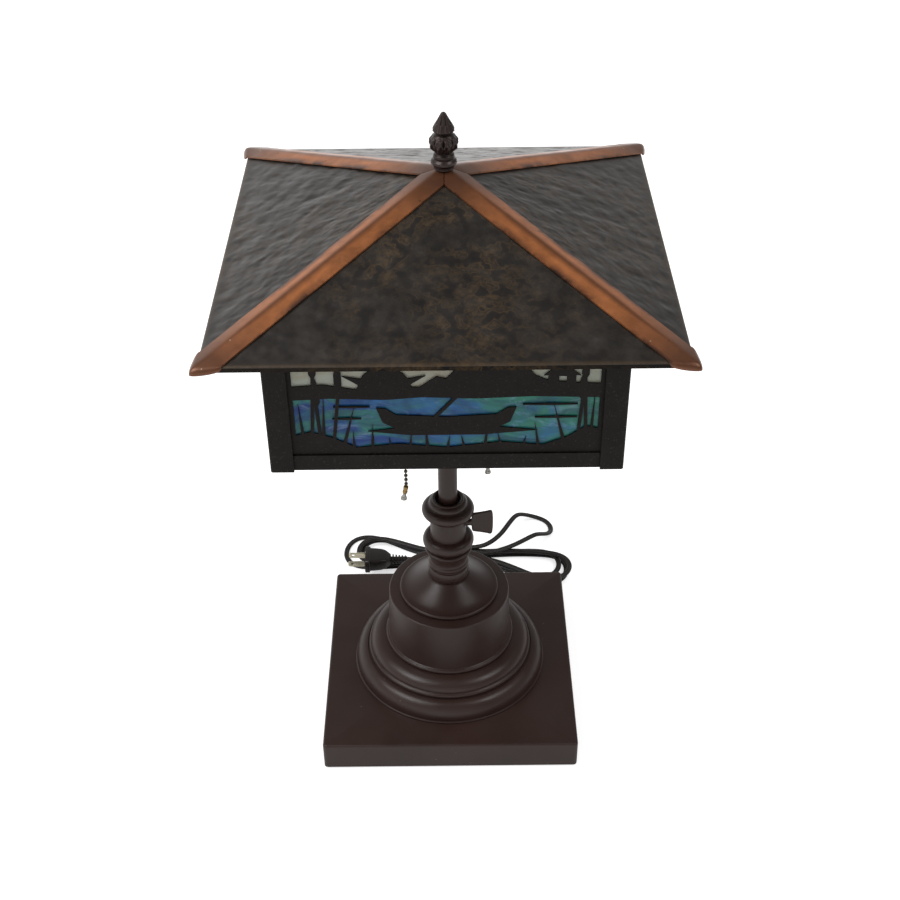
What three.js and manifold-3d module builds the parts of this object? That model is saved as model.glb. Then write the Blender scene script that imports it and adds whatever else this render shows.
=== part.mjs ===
// Slag glass table lamp: a square foot with a turned column, a mast that slides in the column
// under a thumb screw, two pull-chain sockets, and a square hip-roofed shade whose walls are
// coloured glass behind a pierced metal scene. Millimetres, +Z up, the origin in the middle of
// the foot's underside, the front towards -Y and the cord lying behind the foot.
import * as THREE from 'three';
import { mergeVertices, toCreasedNormals } from 'three/addons/utils/BufferGeometryUtils.js';
import Module from 'manifold-3d';

const wasm = await Module();
wasm.setup();

// Driving sizes of the whole lamp.
const footSide = 220;
const footTopZ = 28;
const plinthRadius = 86;
const plinthInset = 13;
const stepInset = 14.5;
const drumInset = 1.1;
const bellRadius = 43.6;
const neckRadius = 15.6;
const poleRadius = 8;
const poleBottomZ = 100;
const poleTopZ = 356;
const bandSide = 252;
const bandBottomZ = 341;
const eaveSide = 322;
const eaveZ = 455.5;
const apexZ = 516;

// Clearances, overruns and step counts that the sub-parts share.
const seatGap = 0.3;
const slideGap = 0.3;
const overrun = 4;
const weldDistance = 0.0001;
const creaseAngle = Math.PI / 5;
const quarterTurn = Math.PI / 2;
const roundSteps = 32;
const columnSteps = 24;
const tubeSteps = 20;
const smallSteps = 16;

// Finishes, as colour, roughness and metalness.
const finish = {
  satinBrown: [0x3c322f, 0.42, 0.25],
  castIron: [0x4a4744, 0.7, 0.6],
  zincSteel: [0x9a9791, 0.4, 0.9],
  darkFelt: [0x2a2724, 1, 0],
  blackPlastic: [0x1b1614, 0.45, 0],
  agedBrass: [0x8f7440, 0.35, 0.9],
  paleBrass: [0xcdb98a, 0.3, 0.9],
  frostedGlass: [0xf2efe6, 0.35, 0],
  darkBronze: [0x2c2522, 0.45, 0.6],
  hammeredBronze: [0x3a2f26, 0.38, 0.7],
  wornCopper: [0x8a5236, 0.4, 0.8],
  etchedBronze: [0x211d1b, 0.6, 0.5],
  skyGlass: [0xcfd4c2, 0.25, 0],
  waterGlass: [0x2f6c9e, 0.22, 0],
};

// The volume that a triangle mesh encloses, negative if its faces point inwards.
function signedVolume(geometry) {
  const at = geometry.attributes.position;
  const corner = (i) => new THREE.Vector3().fromBufferAttribute(at, geometry.index.getX(i));
  let sum = 0;
  for (let i = 0; i < geometry.index.count; i += 3) {
    sum += corner(i).dot(corner(i + 1).cross(corner(i + 2)));
  }
  return sum / 6;
}

// One closed body: positions only, shared corners merged, faces pointing out.
function closedBody(geometry) {
  geometry.deleteAttribute('normal');
  geometry.deleteAttribute('uv');
  const merged = mergeVertices(geometry, weldDistance);
  if (signedVolume(merged) < 0) {
    const index = merged.index.array;
    for (let i = 0; i < index.length; i += 3) {
      [index[i], index[i + 1]] = [index[i + 1], index[i]];
    }
  }
  return merged;
}

function fromFaces(corners, faces) {
  const geometry = new THREE.BufferGeometry();
  geometry.setAttribute('position', new THREE.Float32BufferAttribute(corners.flat(), 3));
  geometry.setIndex(faces.flat());
  return closedBody(geometry);
}

function toManifold(geometry) {
  const mesh = new wasm.Mesh({
    numProp: 3,
    vertProperties: new Float32Array(geometry.attributes.position.array),
    triVerts: new Uint32Array(geometry.index.array),
  });
  return new wasm.Manifold(mesh);
}

function fromManifold(body) {
  const mesh = body.getMesh();
  const geometry = new THREE.BufferGeometry();
  geometry.setAttribute('position', new THREE.BufferAttribute(mesh.vertProperties, 3));
  geometry.setIndex(new THREE.BufferAttribute(mesh.triVerts, 1));
  return geometry;
}

function join(...geometries) {
  return fromManifold(geometries.map(toManifold).reduce((a, b) => a.add(b)));
}

function cut(geometry, ...tools) {
  return fromManifold(tools.map(toManifold).reduce((a, b) => a.subtract(b), toManifold(geometry)));
}

// Points [radius, z] on an ellipse's arc, from one angle to another in degrees.
function arc([r, z], [radiusR, radiusZ], from, to, steps) {
  return Array.from({ length: steps + 1 }, (_, i) => {
    const angle = THREE.MathUtils.degToRad(from + ((to - from) * i) / steps);
    return [r + radiusR * Math.cos(angle), z + radiusZ * Math.sin(angle)];
  });
}

// A turned body about Z from a profile of [radius, z] points that closes on itself or the axis.
function lathe(profile, steps) {
  const points = profile.map(([r, z]) => new THREE.Vector2(r, z));
  const meetsAxis = profile[0][0] === 0 && profile.at(-1)[0] === 0;
  if (!meetsAxis) points.push(points[0].clone());
  return closedBody(new THREE.LatheGeometry(points, steps).rotateX(quarterTurn));
}

function rod(radius, bottom, top, steps = smallSteps) {
  return lathe([[0, bottom], [radius, bottom], [radius, top], [0, top]], steps);
}

function sleeve(outer, inner, bottom, top, steps = tubeSteps) {
  return lathe([[inner, bottom], [outer, bottom], [outer, top], [inner, top]], steps);
}

// A square ring about Z from a profile of [half width, z] points, with mitred corners.
function squareRing(profile) {
  const diagonal = profile.map(([half, z]) => [half * Math.SQRT2, z]);
  return lathe(diagonal, 4).rotateZ(quarterTurn / 2);
}

// A skin over rings of points with equal counts, closed by a flat face at each end.
function loft(rings) {
  const count = rings[0].length;
  const last = (rings.length - 1) * count;
  const faces = [];
  for (let i = 0; i + 1 < rings.length; i++) {
    for (let j = 0; j < count; j++) {
      const a = i * count + j;
      const b = i * count + ((j + 1) % count);
      faces.push([a, b, b + count], [a, b + count, a + count]);
    }
  }
  for (let j = 1; j + 1 < count; j++) {
    faces.push([0, j + 1, j], [last, last + j, last + j + 1]);
  }
  return fromFaces(rings.flat(), faces);
}

// A sheet between an upper and a lower grid of points, closed along its four edges.
function sheet(upper, lower) {
  const rows = upper.length;
  const columns = upper[0].length;
  const under = rows * columns;
  const faces = [];
  const quad = (a, b, c, d) => faces.push([a, b, c], [a, c, d]);
  for (let i = 0; i + 1 < rows; i++) {
    for (let j = 0; j + 1 < columns; j++) {
      const a = i * columns + j;
      const c = a + columns;
      quad(a, a + 1, c + 1, c);
      quad(under + a, under + c, under + c + 1, under + a + 1);
    }
  }
  const rim = [];
  for (let j = 0; j < columns - 1; j++) rim.push(j);
  for (let i = 0; i < rows - 1; i++) rim.push(i * columns + columns - 1);
  for (let j = columns - 1; j > 0; j--) rim.push((rows - 1) * columns + j);
  for (let i = rows - 1; i > 0; i--) rim.push(i * columns);
  rim.forEach((a, i) => {
    const b = rim[(i + 1) % rim.length];
    quad(b, a, under + a, under + b);
  });
  return fromFaces([...upper.flat(), ...lower.flat()], faces);
}

// A ring of points round a rectangle with rounded corners, at one height.
function roundedRectangle(halfX, halfY, corner, z, steps) {
  const points = [];
  for (let quarter = 0; quarter < 4; quarter++) {
    const signX = quarter === 0 || quarter === 3 ? 1 : -1;
    const signY = quarter < 2 ? 1 : -1;
    for (let i = 0; i <= steps; i++) {
      const angle = quarterTurn * (quarter + i / steps);
      const x = signX * (halfX - corner) + corner * Math.cos(angle);
      points.push([x, signY * (halfY - corner) + corner * Math.sin(angle), z]);
    }
  }
  return points;
}

function box([x0, y0, z0], [x1, y1, z1]) {
  const ring = (z) => [[x0, y0, z], [x1, y0, z], [x1, y1, z], [x0, y1, z]];
  return loft([ring(z0), ring(z1)]);
}

// A plate with an outline of [x, z] points, standing in the XZ plane from y = from to y = to.
function uprightPlate(outline, from, to, holes = []) {
  const shape = new THREE.Shape(outline.map(([x, z]) => new THREE.Vector2(x, z)));
  for (const hole of holes) {
    shape.holes.push(new THREE.Path(hole.map(([x, z]) => new THREE.Vector2(x, z))));
  }
  const plate = new THREE.ExtrudeGeometry(shape, { depth: to - from, bevelEnabled: false });
  return closedBody(plate.rotateX(quarterTurn).translate(0, to, 0));
}

function meshOf(name, geometry, [color, roughness, metalness]) {
  const material = new THREE.MeshStandardMaterial({ color, roughness, metalness });
  const mesh = new THREE.Mesh(toCreasedNormals(geometry, creaseAngle), material);
  mesh.name = name;
  return mesh;
}

// Foot: a pressed square pan over a felt sheet, weighted by an iron slab that hangs from the
// guide tube's lower nut.
const footSkin = 2.5;
const footEdge = 3;
const footCorner = 4;
const footEdgeSteps = 3;
const feltThick = 1.5;
const feltMargin = 1.5;
const weightSide = 190;
const weightThick = 10;
const weightCorner = 6;
const guideRadius = 10;
const nutRadius = 17;
const nutHeight = 6;
const nutSides = 6;
const guideWasherRadius = 18;
const washerThick = 1.5;
const guideTubeStub = 2;
const guideBelowDish = 1.4;
const weightTopZ = footTopZ - footSkin;
const weightBottomZ = weightTopZ - weightThick;
const guideWasherZ = weightBottomZ - washerThick;
const guideNutZ = guideWasherZ - nutHeight;
const guideBottomZ = guideNutZ - guideTubeStub;

// Bushing in the foot's back wall, where the cord comes out.
const bushingZ = 10;
const bushingNeck = 5;
const bushingHead = 7;
const bushingHeadDepth = 3;
const bushingFaceY = footSide / 2 + bushingHeadDepth;

function footPlate() {
  const half = footSide / 2;
  const levels = arc([half - footEdge, footTopZ - footEdge], [footEdge, footEdge], 0, 90, footEdgeSteps);
  const rings = [[half, feltThick], ...levels].map(([side, z]) =>
    roundedRectangle(side, side, footCorner - (half - side), z, footEdgeSteps));
  const inside = half - footSkin;
  const hollow = box([-inside, -inside, feltThick - overrun], [inside, inside, weightTopZ]);
  const guideHole = rod(guideRadius + slideGap, 0, footTopZ + overrun, tubeSteps);
  const cordHole = rod(bushingNeck + seatGap, inside - overrun, half + overrun);
  cordHole.rotateX(-quarterTurn).translate(0, 0, bushingZ);
  return cut(loft(rings), hollow, guideHole, cordHole);
}

function footWeight() {
  const ring = (z) => roundedRectangle(weightSide / 2, weightSide / 2, weightCorner, z, 1);
  const slab = loft([ring(weightBottomZ), ring(weightTopZ)]);
  return cut(slab, rod(guideRadius + slideGap, 0, footTopZ, tubeSteps));
}

function feltPad() {
  const half = footSide / 2 - feltMargin;
  const ring = (z) => roundedRectangle(half, half, footCorner - feltMargin, z, 1);
  return loft([ring(0), ring(feltThick)]);
}

function cordBushing() {
  const wallInside = footSide / 2 - footSkin;
  const profile = [
    [0, wallInside - bushingHeadDepth],
    [bushingHead - seatGap, wallInside - bushingHeadDepth],
    [bushingHead, wallInside - seatGap],
    [bushingNeck, wallInside - seatGap],
    [bushingNeck, footSide / 2 + seatGap],
    [bushingHead, footSide / 2 + seatGap],
    [bushingNeck, bushingFaceY],
    [0, bushingFaceY],
  ];
  return lathe(profile, smallSteps).rotateX(-quarterTurn).translate(0, 0, bushingZ);
}

// Column: spun shells stacked on the foot round the guide tube. Each starts on the last one's top.
const shellWall = 2;
const plinthHeight = 17.4;
const plinthRim = 3;
const plinthSteps = 5;
const stepHeight = 13.9;
const stepBand = 5;
const stepBandTaper = 2;
const drumHeight = 52.1;
const drumBead = 1.9;
const drumFootInset = 2.6;
const drumFootRise = 1.6;
const drumTopInset = 4.4;
const drumRimRound = 2;
const ledgeLap = 8;
const bellSeat = 5.6;
const bellHeight = 17.6;
const bellBead = 1.9;
const bellGroove = 2.6;
const bellGrooveRise = 0.6;
const bellTopRadius = 17.2;
const bellTopThick = 3;
const bellCurveShares = [[0.06, 0.41], [0.59, 0.47]];
const bellCurveSteps = 5;
const bellInnerShares = [[0.45, 0.5], [0.9, 0.1]];
const neckHeight = 44.4;
const neckBore = guideRadius + slideGap;
const neckFootBead = 1.7;
const neckFootHeight = 8;
const neckCoveHeight = 4;
const neckRing = 2;
const neckRingHeight = 3.3;
const neckBeadRadius = 20.3;
const neckBeadHeight = 6.2;
const neckKnobRadius = 21.9;
const neckKnobHeight = 10.8;
const knobRound = 4.5;
const knobSteps = 6;
const collarHeight = 40;
const collarShaft = 20.3;
const collarRing = 1.6;
const collarRingHeight = 3;
const collarKnobRadius = 22.2;
const collarKnobHeight = 9.6;
const collarLip = 0.4;
const collarLipDrop = 4;
const collarTopRadius = 12.4;
const dishRadius = 11;
const dishDepth = 6;
const dishBevel = 0.6;
const screwRise = 12.6;
const screwRadius = 3;
const stepRadius = plinthRadius - plinthInset;
const stepTopRadius = stepRadius - stepInset;
const drumRadius = stepTopRadius - drumInset;
const drumFootRadius = drumRadius - drumFootInset;
const drumTopRadius = drumRadius - drumTopInset;
const stepBaseZ = footTopZ + plinthHeight;
const drumBaseZ = stepBaseZ + stepHeight;
const bellBaseZ = drumBaseZ + drumHeight;
const neckBaseZ = bellBaseZ + bellHeight;
const collarBaseZ = neckBaseZ + neckHeight;
const columnTopZ = collarBaseZ + collarHeight;
const screwZ = collarBaseZ + screwRise;
const guideTopZ = columnTopZ - dishDepth - guideBelowDish;

function screwHole() {
  return rod(screwRadius + slideGap, 0, plinthRadius).rotateY(quarterTurn).translate(0, 0, screwZ);
}

function lowerPlinth() {
  const shoulder = footTopZ + plinthRim;
  const bulge = [plinthRadius - stepRadius, plinthHeight - plinthRim];
  const profile = [
    [plinthRadius, footTopZ],
    ...arc([stepRadius, shoulder], bulge, 0, 90, plinthSteps),
    [stepRadius - ledgeLap, stepBaseZ],
    [stepRadius - ledgeLap, stepBaseZ - shellWall],
    [stepRadius - shellWall, stepBaseZ - shellWall],
    [plinthRadius - shellWall, shoulder],
    [plinthRadius - shellWall, footTopZ],
  ];
  return lathe(profile, roundSteps);
}

function upperPlinth() {
  const bandTop = stepBaseZ + stepBand;
  const bandRadius = stepRadius - stepBandTaper;
  const bulge = [bandRadius - stepTopRadius, stepHeight - stepBand];
  const profile = [
    [stepRadius, stepBaseZ],
    ...arc([stepTopRadius, bandTop], bulge, 0, 90, plinthSteps - 2),
    [drumRadius - ledgeLap, drumBaseZ],
    [drumRadius - ledgeLap, drumBaseZ - shellWall],
    [stepTopRadius - shellWall, drumBaseZ - shellWall],
    [bandRadius - shellWall, bandTop],
    [stepRadius - shellWall, stepBaseZ],
  ];
  return lathe(profile, roundSteps);
}

function drum() {
  const beadTop = drumBaseZ + 2 * drumBead;
  const wallFoot = beadTop + drumFootRise;
  const rimZ = bellBaseZ - drumRimRound;
  const profile = [
    ...arc([drumRadius - drumBead, drumBaseZ + drumBead], [drumBead, drumBead], -90, 90, 3),
    [drumFootRadius, wallFoot],
    ...arc([drumTopRadius - drumRimRound, rimZ], [drumRimRound, drumRimRound], 0, 90, 2),
    [bellRadius - bellSeat, bellBaseZ],
    [bellRadius - bellSeat, rimZ],
    [drumTopRadius - shellWall, rimZ],
    [drumFootRadius - shellWall, drumBaseZ],
  ];
  return lathe(profile, roundSteps);
}

function bellCap() {
  const grooveZ = bellBaseZ + 2 * bellBead + bellGrooveRise;
  const grooveRadius = bellRadius - bellGroove;
  const place = ([inward, up], bottom, top) => new THREE.Vector2(
    grooveRadius - inward * (grooveRadius - bellTopRadius), bottom + up * (top - bottom));
  const ends = [[0, 0], ...bellCurveShares, [1, 1]].map((share) => place(share, grooveZ, neckBaseZ));
  const curve = new THREE.CubicBezierCurve(...ends).getPoints(bellCurveSteps);
  const inner = bellInnerShares.map(([outward, up]) => [
    neckBore + outward * (grooveRadius - neckBore),
    bellBaseZ + up * bellHeight,
  ]);
  const profile = [
    [bellRadius - bellGroove - shellWall, bellBaseZ],
    ...arc([bellRadius - bellBead, bellBaseZ + bellBead], [bellBead, bellBead], -90, 90, 3),
    ...curve.map(({ x, y }) => [x, y]),
    [neckBore, neckBaseZ],
    [neckBore, neckBaseZ - bellTopThick],
    ...inner,
  ];
  return lathe(profile, roundSteps);
}

function neck() {
  const footTop = neckBaseZ + neckFootHeight;
  const coveTop = footTop + neckCoveHeight;
  const ringTop = coveTop + neckRing + neckRingHeight;
  const knobZ = collarBaseZ - neckKnobHeight / 2;
  const beadZ = knobZ - (neckKnobHeight + neckBeadHeight) / 2;
  const profile = [
    [neckBore, neckBaseZ],
    ...arc([neckRadius, neckBaseZ + neckFootHeight / 2], [neckFootBead, neckFootHeight / 2], -90, 90, 3),
    [neckRadius, coveTop],
    [neckRadius + neckRing, coveTop + neckRing],
    [neckRadius + neckRing, ringTop],
    ...arc([neckRadius, beadZ], [neckBeadRadius - neckRadius, neckBeadHeight / 2], -60, 60, 3),
    ...arc([neckKnobRadius - knobRound, knobZ], [knobRound, neckKnobHeight / 2], -90, 90, knobSteps),
    [neckBore, collarBaseZ],
  ];
  return lathe(profile, columnSteps);
}

function collar() {
  const shaftTop = collarBaseZ + collarShaft;
  const ringTop = shaftTop + collarRingHeight;
  const knobZ = ringTop + collarKnobHeight / 2;
  const lipZ = columnTopZ - collarLipDrop;
  const profile = [
    [neckBore, collarBaseZ],
    [neckRadius, collarBaseZ],
    [neckRadius, shaftTop],
    [neckRadius + collarRing, shaftTop + collarRingHeight / 4],
    [neckRadius + collarRing, ringTop],
    ...arc([collarKnobRadius - knobRound, knobZ], [knobRound, collarKnobHeight / 2], -70, 80, knobSteps),
    [neckRadius + collarLip, lipZ],
    [collarTopRadius, columnTopZ],
    [dishRadius + dishBevel, columnTopZ],
    [dishRadius, columnTopZ - dishBevel],
    [dishRadius, columnTopZ - dishDepth],
    [neckBore, columnTopZ - dishDepth],
  ];
  return cut(lathe(profile, columnSteps), screwHole());
}

function guideTube() {
  const tube = sleeve(guideRadius, poleRadius + slideGap, guideBottomZ, guideTopZ);
  return cut(tube, screwHole());
}

// Thumb screw: its tip bears on the pole through the collar and the guide tube.
const paddleStart = 19.9;
const paddleEnd = 37.6;
const paddleThick = 4;
const paddleInner = 9.6;
const paddleOuter = 12.8;
const paddleRound = 1.8;
const paddleCrown = 0.7;
const screwTip = poleRadius + slideGap;

function clampScrew() {
  const upperEdge = [
    [paddleStart, paddleInner - paddleRound],
    [paddleStart + paddleRound, paddleInner],
    [paddleEnd - paddleRound, paddleOuter],
    [paddleEnd, paddleOuter - paddleRound],
  ];
  const lowerEdge = upperEdge.map(([x, z]) => [x, -z]).reverse();
  const outline = [...upperEdge, [paddleEnd + paddleCrown, 0], ...lowerEdge];
  const paddle = uprightPlate(outline, -paddleThick / 2, paddleThick / 2);
  const stem = rod(screwRadius, screwTip, paddleStart + paddleRound).rotateY(quarterTurn);
  return join(paddle, stem).translate(0, 0, screwZ);
}

// Mast: the pole, a two-arm cluster with a socket and a bulb on each arm, and a riser rod.
const poleWall = 1.4;
const poleSocketDepth = 10;
const hubRadius = 13;
const hubHeight = 20;
const hubRound = 5;
const hubFloor = 3;
const armLean = Math.PI / 4;
const armRadius = 6.5;
const armStart = 12;
const armLength = 30;
const socketRadius = 17;
const socketLength = 54;
const socketBase = 10;
const socketShoulder = 10;
const socketLipOut = 0.6;
const socketWall = 2.2;
const socketFloor = 18;
const guideBossRadius = 3.4;
const guideBossLength = 13;
const chainX = 34;
const chainY = 17;
const chainBead = 1.6;
const chainBoreGap = 0.6;
const capRadius = 13;
const capLength = 26;
const capContact = 5;
const capCone = 5;
const bulbRadius = 24;
const bulbNeck = 12.4;
const bulbLength = 69;
const bulbWall = 1.2;
const bulbNeckEnd = 12;
const bulbSteps = 5;
const bulbNeckAngle = -48;
const hubBottomZ = poleTopZ - poleSocketDepth;
const hubTopZ = hubBottomZ + hubHeight;
const armZ = hubBottomZ + armRadius;
const riserRadius = 3;
const riserBottomZ = poleTopZ + hubFloor + seatGap;

// Moves a body built about +Z from z = 0 onto the arm that leans to one side.
function ontoArm(geometry, side, along) {
  const lean = side * armLean;
  const out = [along * Math.sin(lean), 0, armZ + along * Math.cos(lean)];
  return geometry.rotateY(lean).translate(...out);
}

function cluster() {
  const hubProfile = [
    [0, hubBottomZ],
    [hubRadius, hubBottomZ],
    ...arc([hubRadius - hubRound, hubTopZ - hubRound], [hubRound, hubRound], 0, 90, 3),
    [0, hubTopZ],
  ];
  const arms = [-1, 1].map((side) => ontoArm(rod(armRadius, armStart, armLength), side, 0));
  const poleSocket = rod(poleRadius + seatGap, hubBottomZ - overrun, poleTopZ + seatGap, tubeSteps);
  const riserSocket = rod(riserRadius + seatGap, riserBottomZ - seatGap, hubTopZ + overrun);
  return cut(join(lathe(hubProfile, tubeSteps), ...arms), poleSocket, riserSocket);
}

function socket(side) {
  const bore = socketRadius - socketWall;
  const shell = lathe([
    [0, 0],
    [socketBase, 0],
    [socketRadius, socketShoulder],
    [socketRadius, socketLength - 2 * socketLipOut],
    [socketRadius + socketLipOut, socketLength],
    [0, socketLength],
  ], tubeSteps);
  const base = armLength + seatGap;
  const body = ontoArm(shell, side, base);
  const hollow = ontoArm(rod(bore, socketFloor, socketLength + overrun, tubeSteps), side, base);
  const axisZ = armZ + chainX / Math.tan(armLean);
  const bossTop = axisZ - guideBossRadius * 2;
  const boss = rod(guideBossRadius, bossTop - guideBossLength, bossTop);
  const chainBore = rod(chainBead + chainBoreGap, bossTop - guideBossLength - overrun, bossTop - overrun);
  const place = [side * chainX, side * chainY, 0];
  return cut(join(body, boss.translate(...place)), hollow, chainBore.translate(...place));
}

function bulbCap(side) {
  const profile = [
    [0, 0],
    [capContact, 0],
    [capRadius, capCone],
    [capRadius, capLength],
    [0, capLength],
  ];
  return ontoArm(lathe(profile, smallSteps), side, armLength + seatGap + socketFloor + seatGap);
}

function bulbOutline(inset) {
  const centre = [0, bulbLength - bulbRadius];
  const ball = [bulbRadius - inset, bulbRadius - inset];
  return [
    [bulbNeck - inset, 0],
    [bulbNeck - inset, bulbNeckEnd],
    ...arc(centre, ball, bulbNeckAngle, 90, bulbSteps).slice(0, -1),
    [0, bulbLength - inset],
  ];
}

function bulbGlass(side) {
  const profile = [...bulbOutline(0).reverse(), ...bulbOutline(bulbWall)];
  const along = armLength + socketFloor + capLength + 3 * seatGap;
  return ontoArm(lathe(profile, smallSteps), side, along);
}

// Pull chain: a beaded run with a clasp and a bell at its end, hanging from the socket's boss.
const chainTopDrop = 6;
const chainLink = 0.5;
const chainPitch = 4.3;
const chainLength = 146;
const claspRadius = 2.1;
const claspLength = 8;
const bellTipRadius = 2.6;
const bellTipLength = 6;
const chainSides = 5;
const chainTopZ = armZ + chainX / Math.tan(armLean) - 2 * guideBossRadius - chainTopDrop;

function pullChain() {
  const beads = Math.round((chainLength - claspLength - bellTipLength) / chainPitch);
  const profile = [[0, chainTopZ]];
  for (let i = 0; i < beads; i++) {
    const top = chainTopZ - i * chainPitch;
    profile.push([chainLink, top], [chainBead, top - chainPitch / 2]);
  }
  const claspTop = chainTopZ - beads * chainPitch;
  const claspEnd = claspTop - claspLength;
  profile.push(
    [chainLink, claspTop],
    [claspRadius, claspTop - chainLink],
    [claspRadius, claspEnd],
    [chainLink, claspEnd - chainLink],
    [bellTipRadius, claspEnd - bellTipLength],
    [0, claspEnd - bellTipLength],
  );
  return lathe(profile, chainSides);
}

// Shade roof: four sheet panels that meet at the hips, with a capping strip over each hip.
const roofRun = eaveSide / 2;
const roofFall = (apexZ - eaveZ) / roofRun;
const roofLean = Math.cos(Math.atan(roofFall));
const panelThick = 1.2;
const lipDrop = 4;
const apexHole = 4.2;
const stripWidth = 12;
const stripThick = 1.2;
const stripStart = 5;
const stripMidGap = 0.25;
const noseReach = 6;
const edgeReach = 1.6;
const stripShares = [-1, -0.5, 0, 0.5, 1];
const noseSteps = 3;

// Height of the roof's outer plane at a distance from the middle, raised square to the slope.
function roofZ(distance, raise = 0) {
  return apexZ - roofFall * distance + raise / roofLean;
}

function roofPanel() {
  const inside = roofRun - panelThick;
  const section = [
    [roofRun, eaveZ],
    [apexHole, roofZ(apexHole)],
    [apexHole, roofZ(apexHole, -panelThick)],
    [inside, roofZ(inside, -panelThick)],
    [inside, eaveZ - lipDrop],
    [roofRun, eaveZ - lipDrop],
  ];
  const end = (side) => section.map(([out, z]) => [side * (out - seatGap / 2), -out, z]);
  return loft([end(-1), end(1)]);
}

// One face of a hip strip: a grid of points raised off the panels, from the apex to the nose.
function stripFace(raise) {
  const across = [1 + roofFall * roofFall, 1];
  const size = Math.hypot(across[0], across[1], roofFall);
  const [backX, outY] = across.map((part) => part / size);
  const leanAngle = Math.atan(roofFall);
  const clipEnd = stripMidGap + backX * stripWidth;
  const point = (hip, share) => {
    const reach = Math.min(stripWidth, (hip - stripMidGap) / backX) * Math.abs(share);
    const [near, far] = [hip - backX * reach, hip + outY * reach];
    return { near, far, z: roofZ(far, raise) };
  };
  const atEave = (share) => point(roofRun - outY * stripWidth * Math.abs(share), share);
  const middle = (clipEnd + roofRun) / 2;
  const rows = [stripStart, clipEnd, middle].map((hip) => stripShares.map((share) => point(hip, share)));
  for (let i = 0; i <= noseSteps; i++) {
    const turn = leanAngle + (i / noseSteps) * (quarterTurn - leanAngle);
    rows.push(stripShares.map((share) => {
      const foot = atEave(share);
      const reach = edgeReach + (noseReach - edgeReach) * Math.sqrt(1 - share * share) + raise;
      const out = reach * (Math.sin(turn) - Math.sin(leanAngle));
      return {
        near: foot.near + out * (1 - Math.abs(share)),
        far: foot.far + out,
        z: foot.z - reach * (Math.cos(leanAngle) - Math.cos(turn)),
      };
    }));
  }
  return rows.map((row) => row.map(({ near, far, z }, i) =>
    (stripShares[i] < 0 ? [far, -near, z] : [near, -far, z])));
}

function ridgeStrip() {
  return sheet(stripFace(seatGap + stripThick), stripFace(seatGap));
}

// What the shade hangs on: an apex plate under the roof, on a washer and a nut on the riser rod.
const plateHalf = 15;
const plateThick = 2;
const restWasherRadius = 12;
const restWasherThick = 2;
const restNutRadius = 6;
const restNutHeight = 5.5;
const plateTopZ = roofZ(plateHalf, -panelThick) - seatGap;
const plateBottomZ = plateTopZ - plateThick;
const restWasherTopZ = plateBottomZ - seatGap;
const restNutTopZ = restWasherTopZ - restWasherThick;

function apexPlate() {
  const plate = box([-plateHalf, -plateHalf, plateBottomZ], [plateHalf, plateHalf, plateTopZ]);
  return cut(plate, rod(riserRadius + seatGap, plateBottomZ - overrun, plateTopZ + overrun));
}

function restNut() {
  const hex = rod(restNutRadius, restNutTopZ - restNutHeight, restNutTopZ, nutSides);
  return cut(hex, rod(riserRadius + seatGap, restNutTopZ - restNutHeight - overrun, restNutTopZ + overrun));
}

// Finial: turned rings, a leafed ball and a leafed cone, screwed on the top of the riser rod.
const finialBaseRadius = 8.6;
const finialHeight = 42;
const finialBallRadius = 10.4;
const finialBore = 15;
const finialLeaves = 8;
const leafDepthShare = 0.09;
const finialRingShares = [
  [1, 0], [1, 0.03], [0.88, 0.045], [1.09, 0.1], [1.07, 0.14], [0.86, 0.18],
  [0.92, 0.22], [0.86, 0.25], [0.7, 0.275],
];
const finialBallShares = [[0.64, 0.31], [0.92, 0.39], [1, 0.47], [0.9, 0.55], [0.62, 0.615]];
const finialConeShares = [[0.46, 0.645], [0.72, 0.715], [0.68, 0.77], [0.4, 0.9], [0.16, 0.985]];
const finialBaseZ = roofZ(stripStart, seatGap + stripThick) + seatGap;

function finial() {
  const place = (radius) => ([r, up]) => [r * radius, finialBaseZ + up * finialHeight];
  const profile = [
    [riserRadius + seatGap, finialBaseZ],
    ...finialRingShares.map(place(finialBaseRadius)),
    ...finialBallShares.map(place(finialBallRadius)),
    ...finialConeShares.map(place(finialBallRadius)),
    [0, finialBaseZ + finialHeight],
  ];
  const bore = [[0, finialBaseZ + finialBore], [riserRadius + seatGap, finialBaseZ + finialBore]];
  const body = lathe([...bore, ...profile], 2 * finialLeaves);
  const at = body.attributes.position;
  const leafFrom = finialBaseZ + finialBallShares[0][1] * finialHeight;
  for (let i = 0; i < at.count; i++) {
    const inGroove = Math.cos(finialLeaves * Math.atan2(at.getY(i), at.getX(i))) < 0;
    const outside = Math.hypot(at.getX(i), at.getY(i)) > riserRadius + 2 * seatGap;
    if (inGroove && outside && at.getZ(i) >= leafFrom) {
      at.setX(i, at.getX(i) * (1 - leafDepthShare));
      at.setY(i, at.getY(i) * (1 - leafDepthShare));
    }
  }
  return body;
}

// Shade walls: corner posts outside a channel frame, which carries a pierced sheet and two
// panes of glass on each side. Every layer stands a seat gap behind the one outside it.
const postWidth = 17;
const postThick = 1.2;
const frameDrop = 1;
const frameHeight = 13;
const frameInnerHeight = 8;
const frameWall = 1;
const filigreeThick = 1;
const glassThick = 3;
const windowSide = 12.6;
const windowSill = 11.5;
const windowHead = 13.3;
const shoreShare = 0.53;
const frameOuter = bandSide / 2 - postThick - seatGap;
const filigreeOuter = frameOuter - frameWall - seatGap;
const glassOuter = filigreeOuter - filigreeThick - seatGap;
const glassInner = glassOuter - glassThick;
const frameInner = glassInner - seatGap - frameWall;
const frameBottomZ = bandBottomZ + frameDrop;
const frameFloorZ = frameBottomZ + frameWall;
const wallBottomZ = frameFloorZ + seatGap;
const bandTopZ = roofZ(bandSide / 2, -panelThick) - seatGap;
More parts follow.
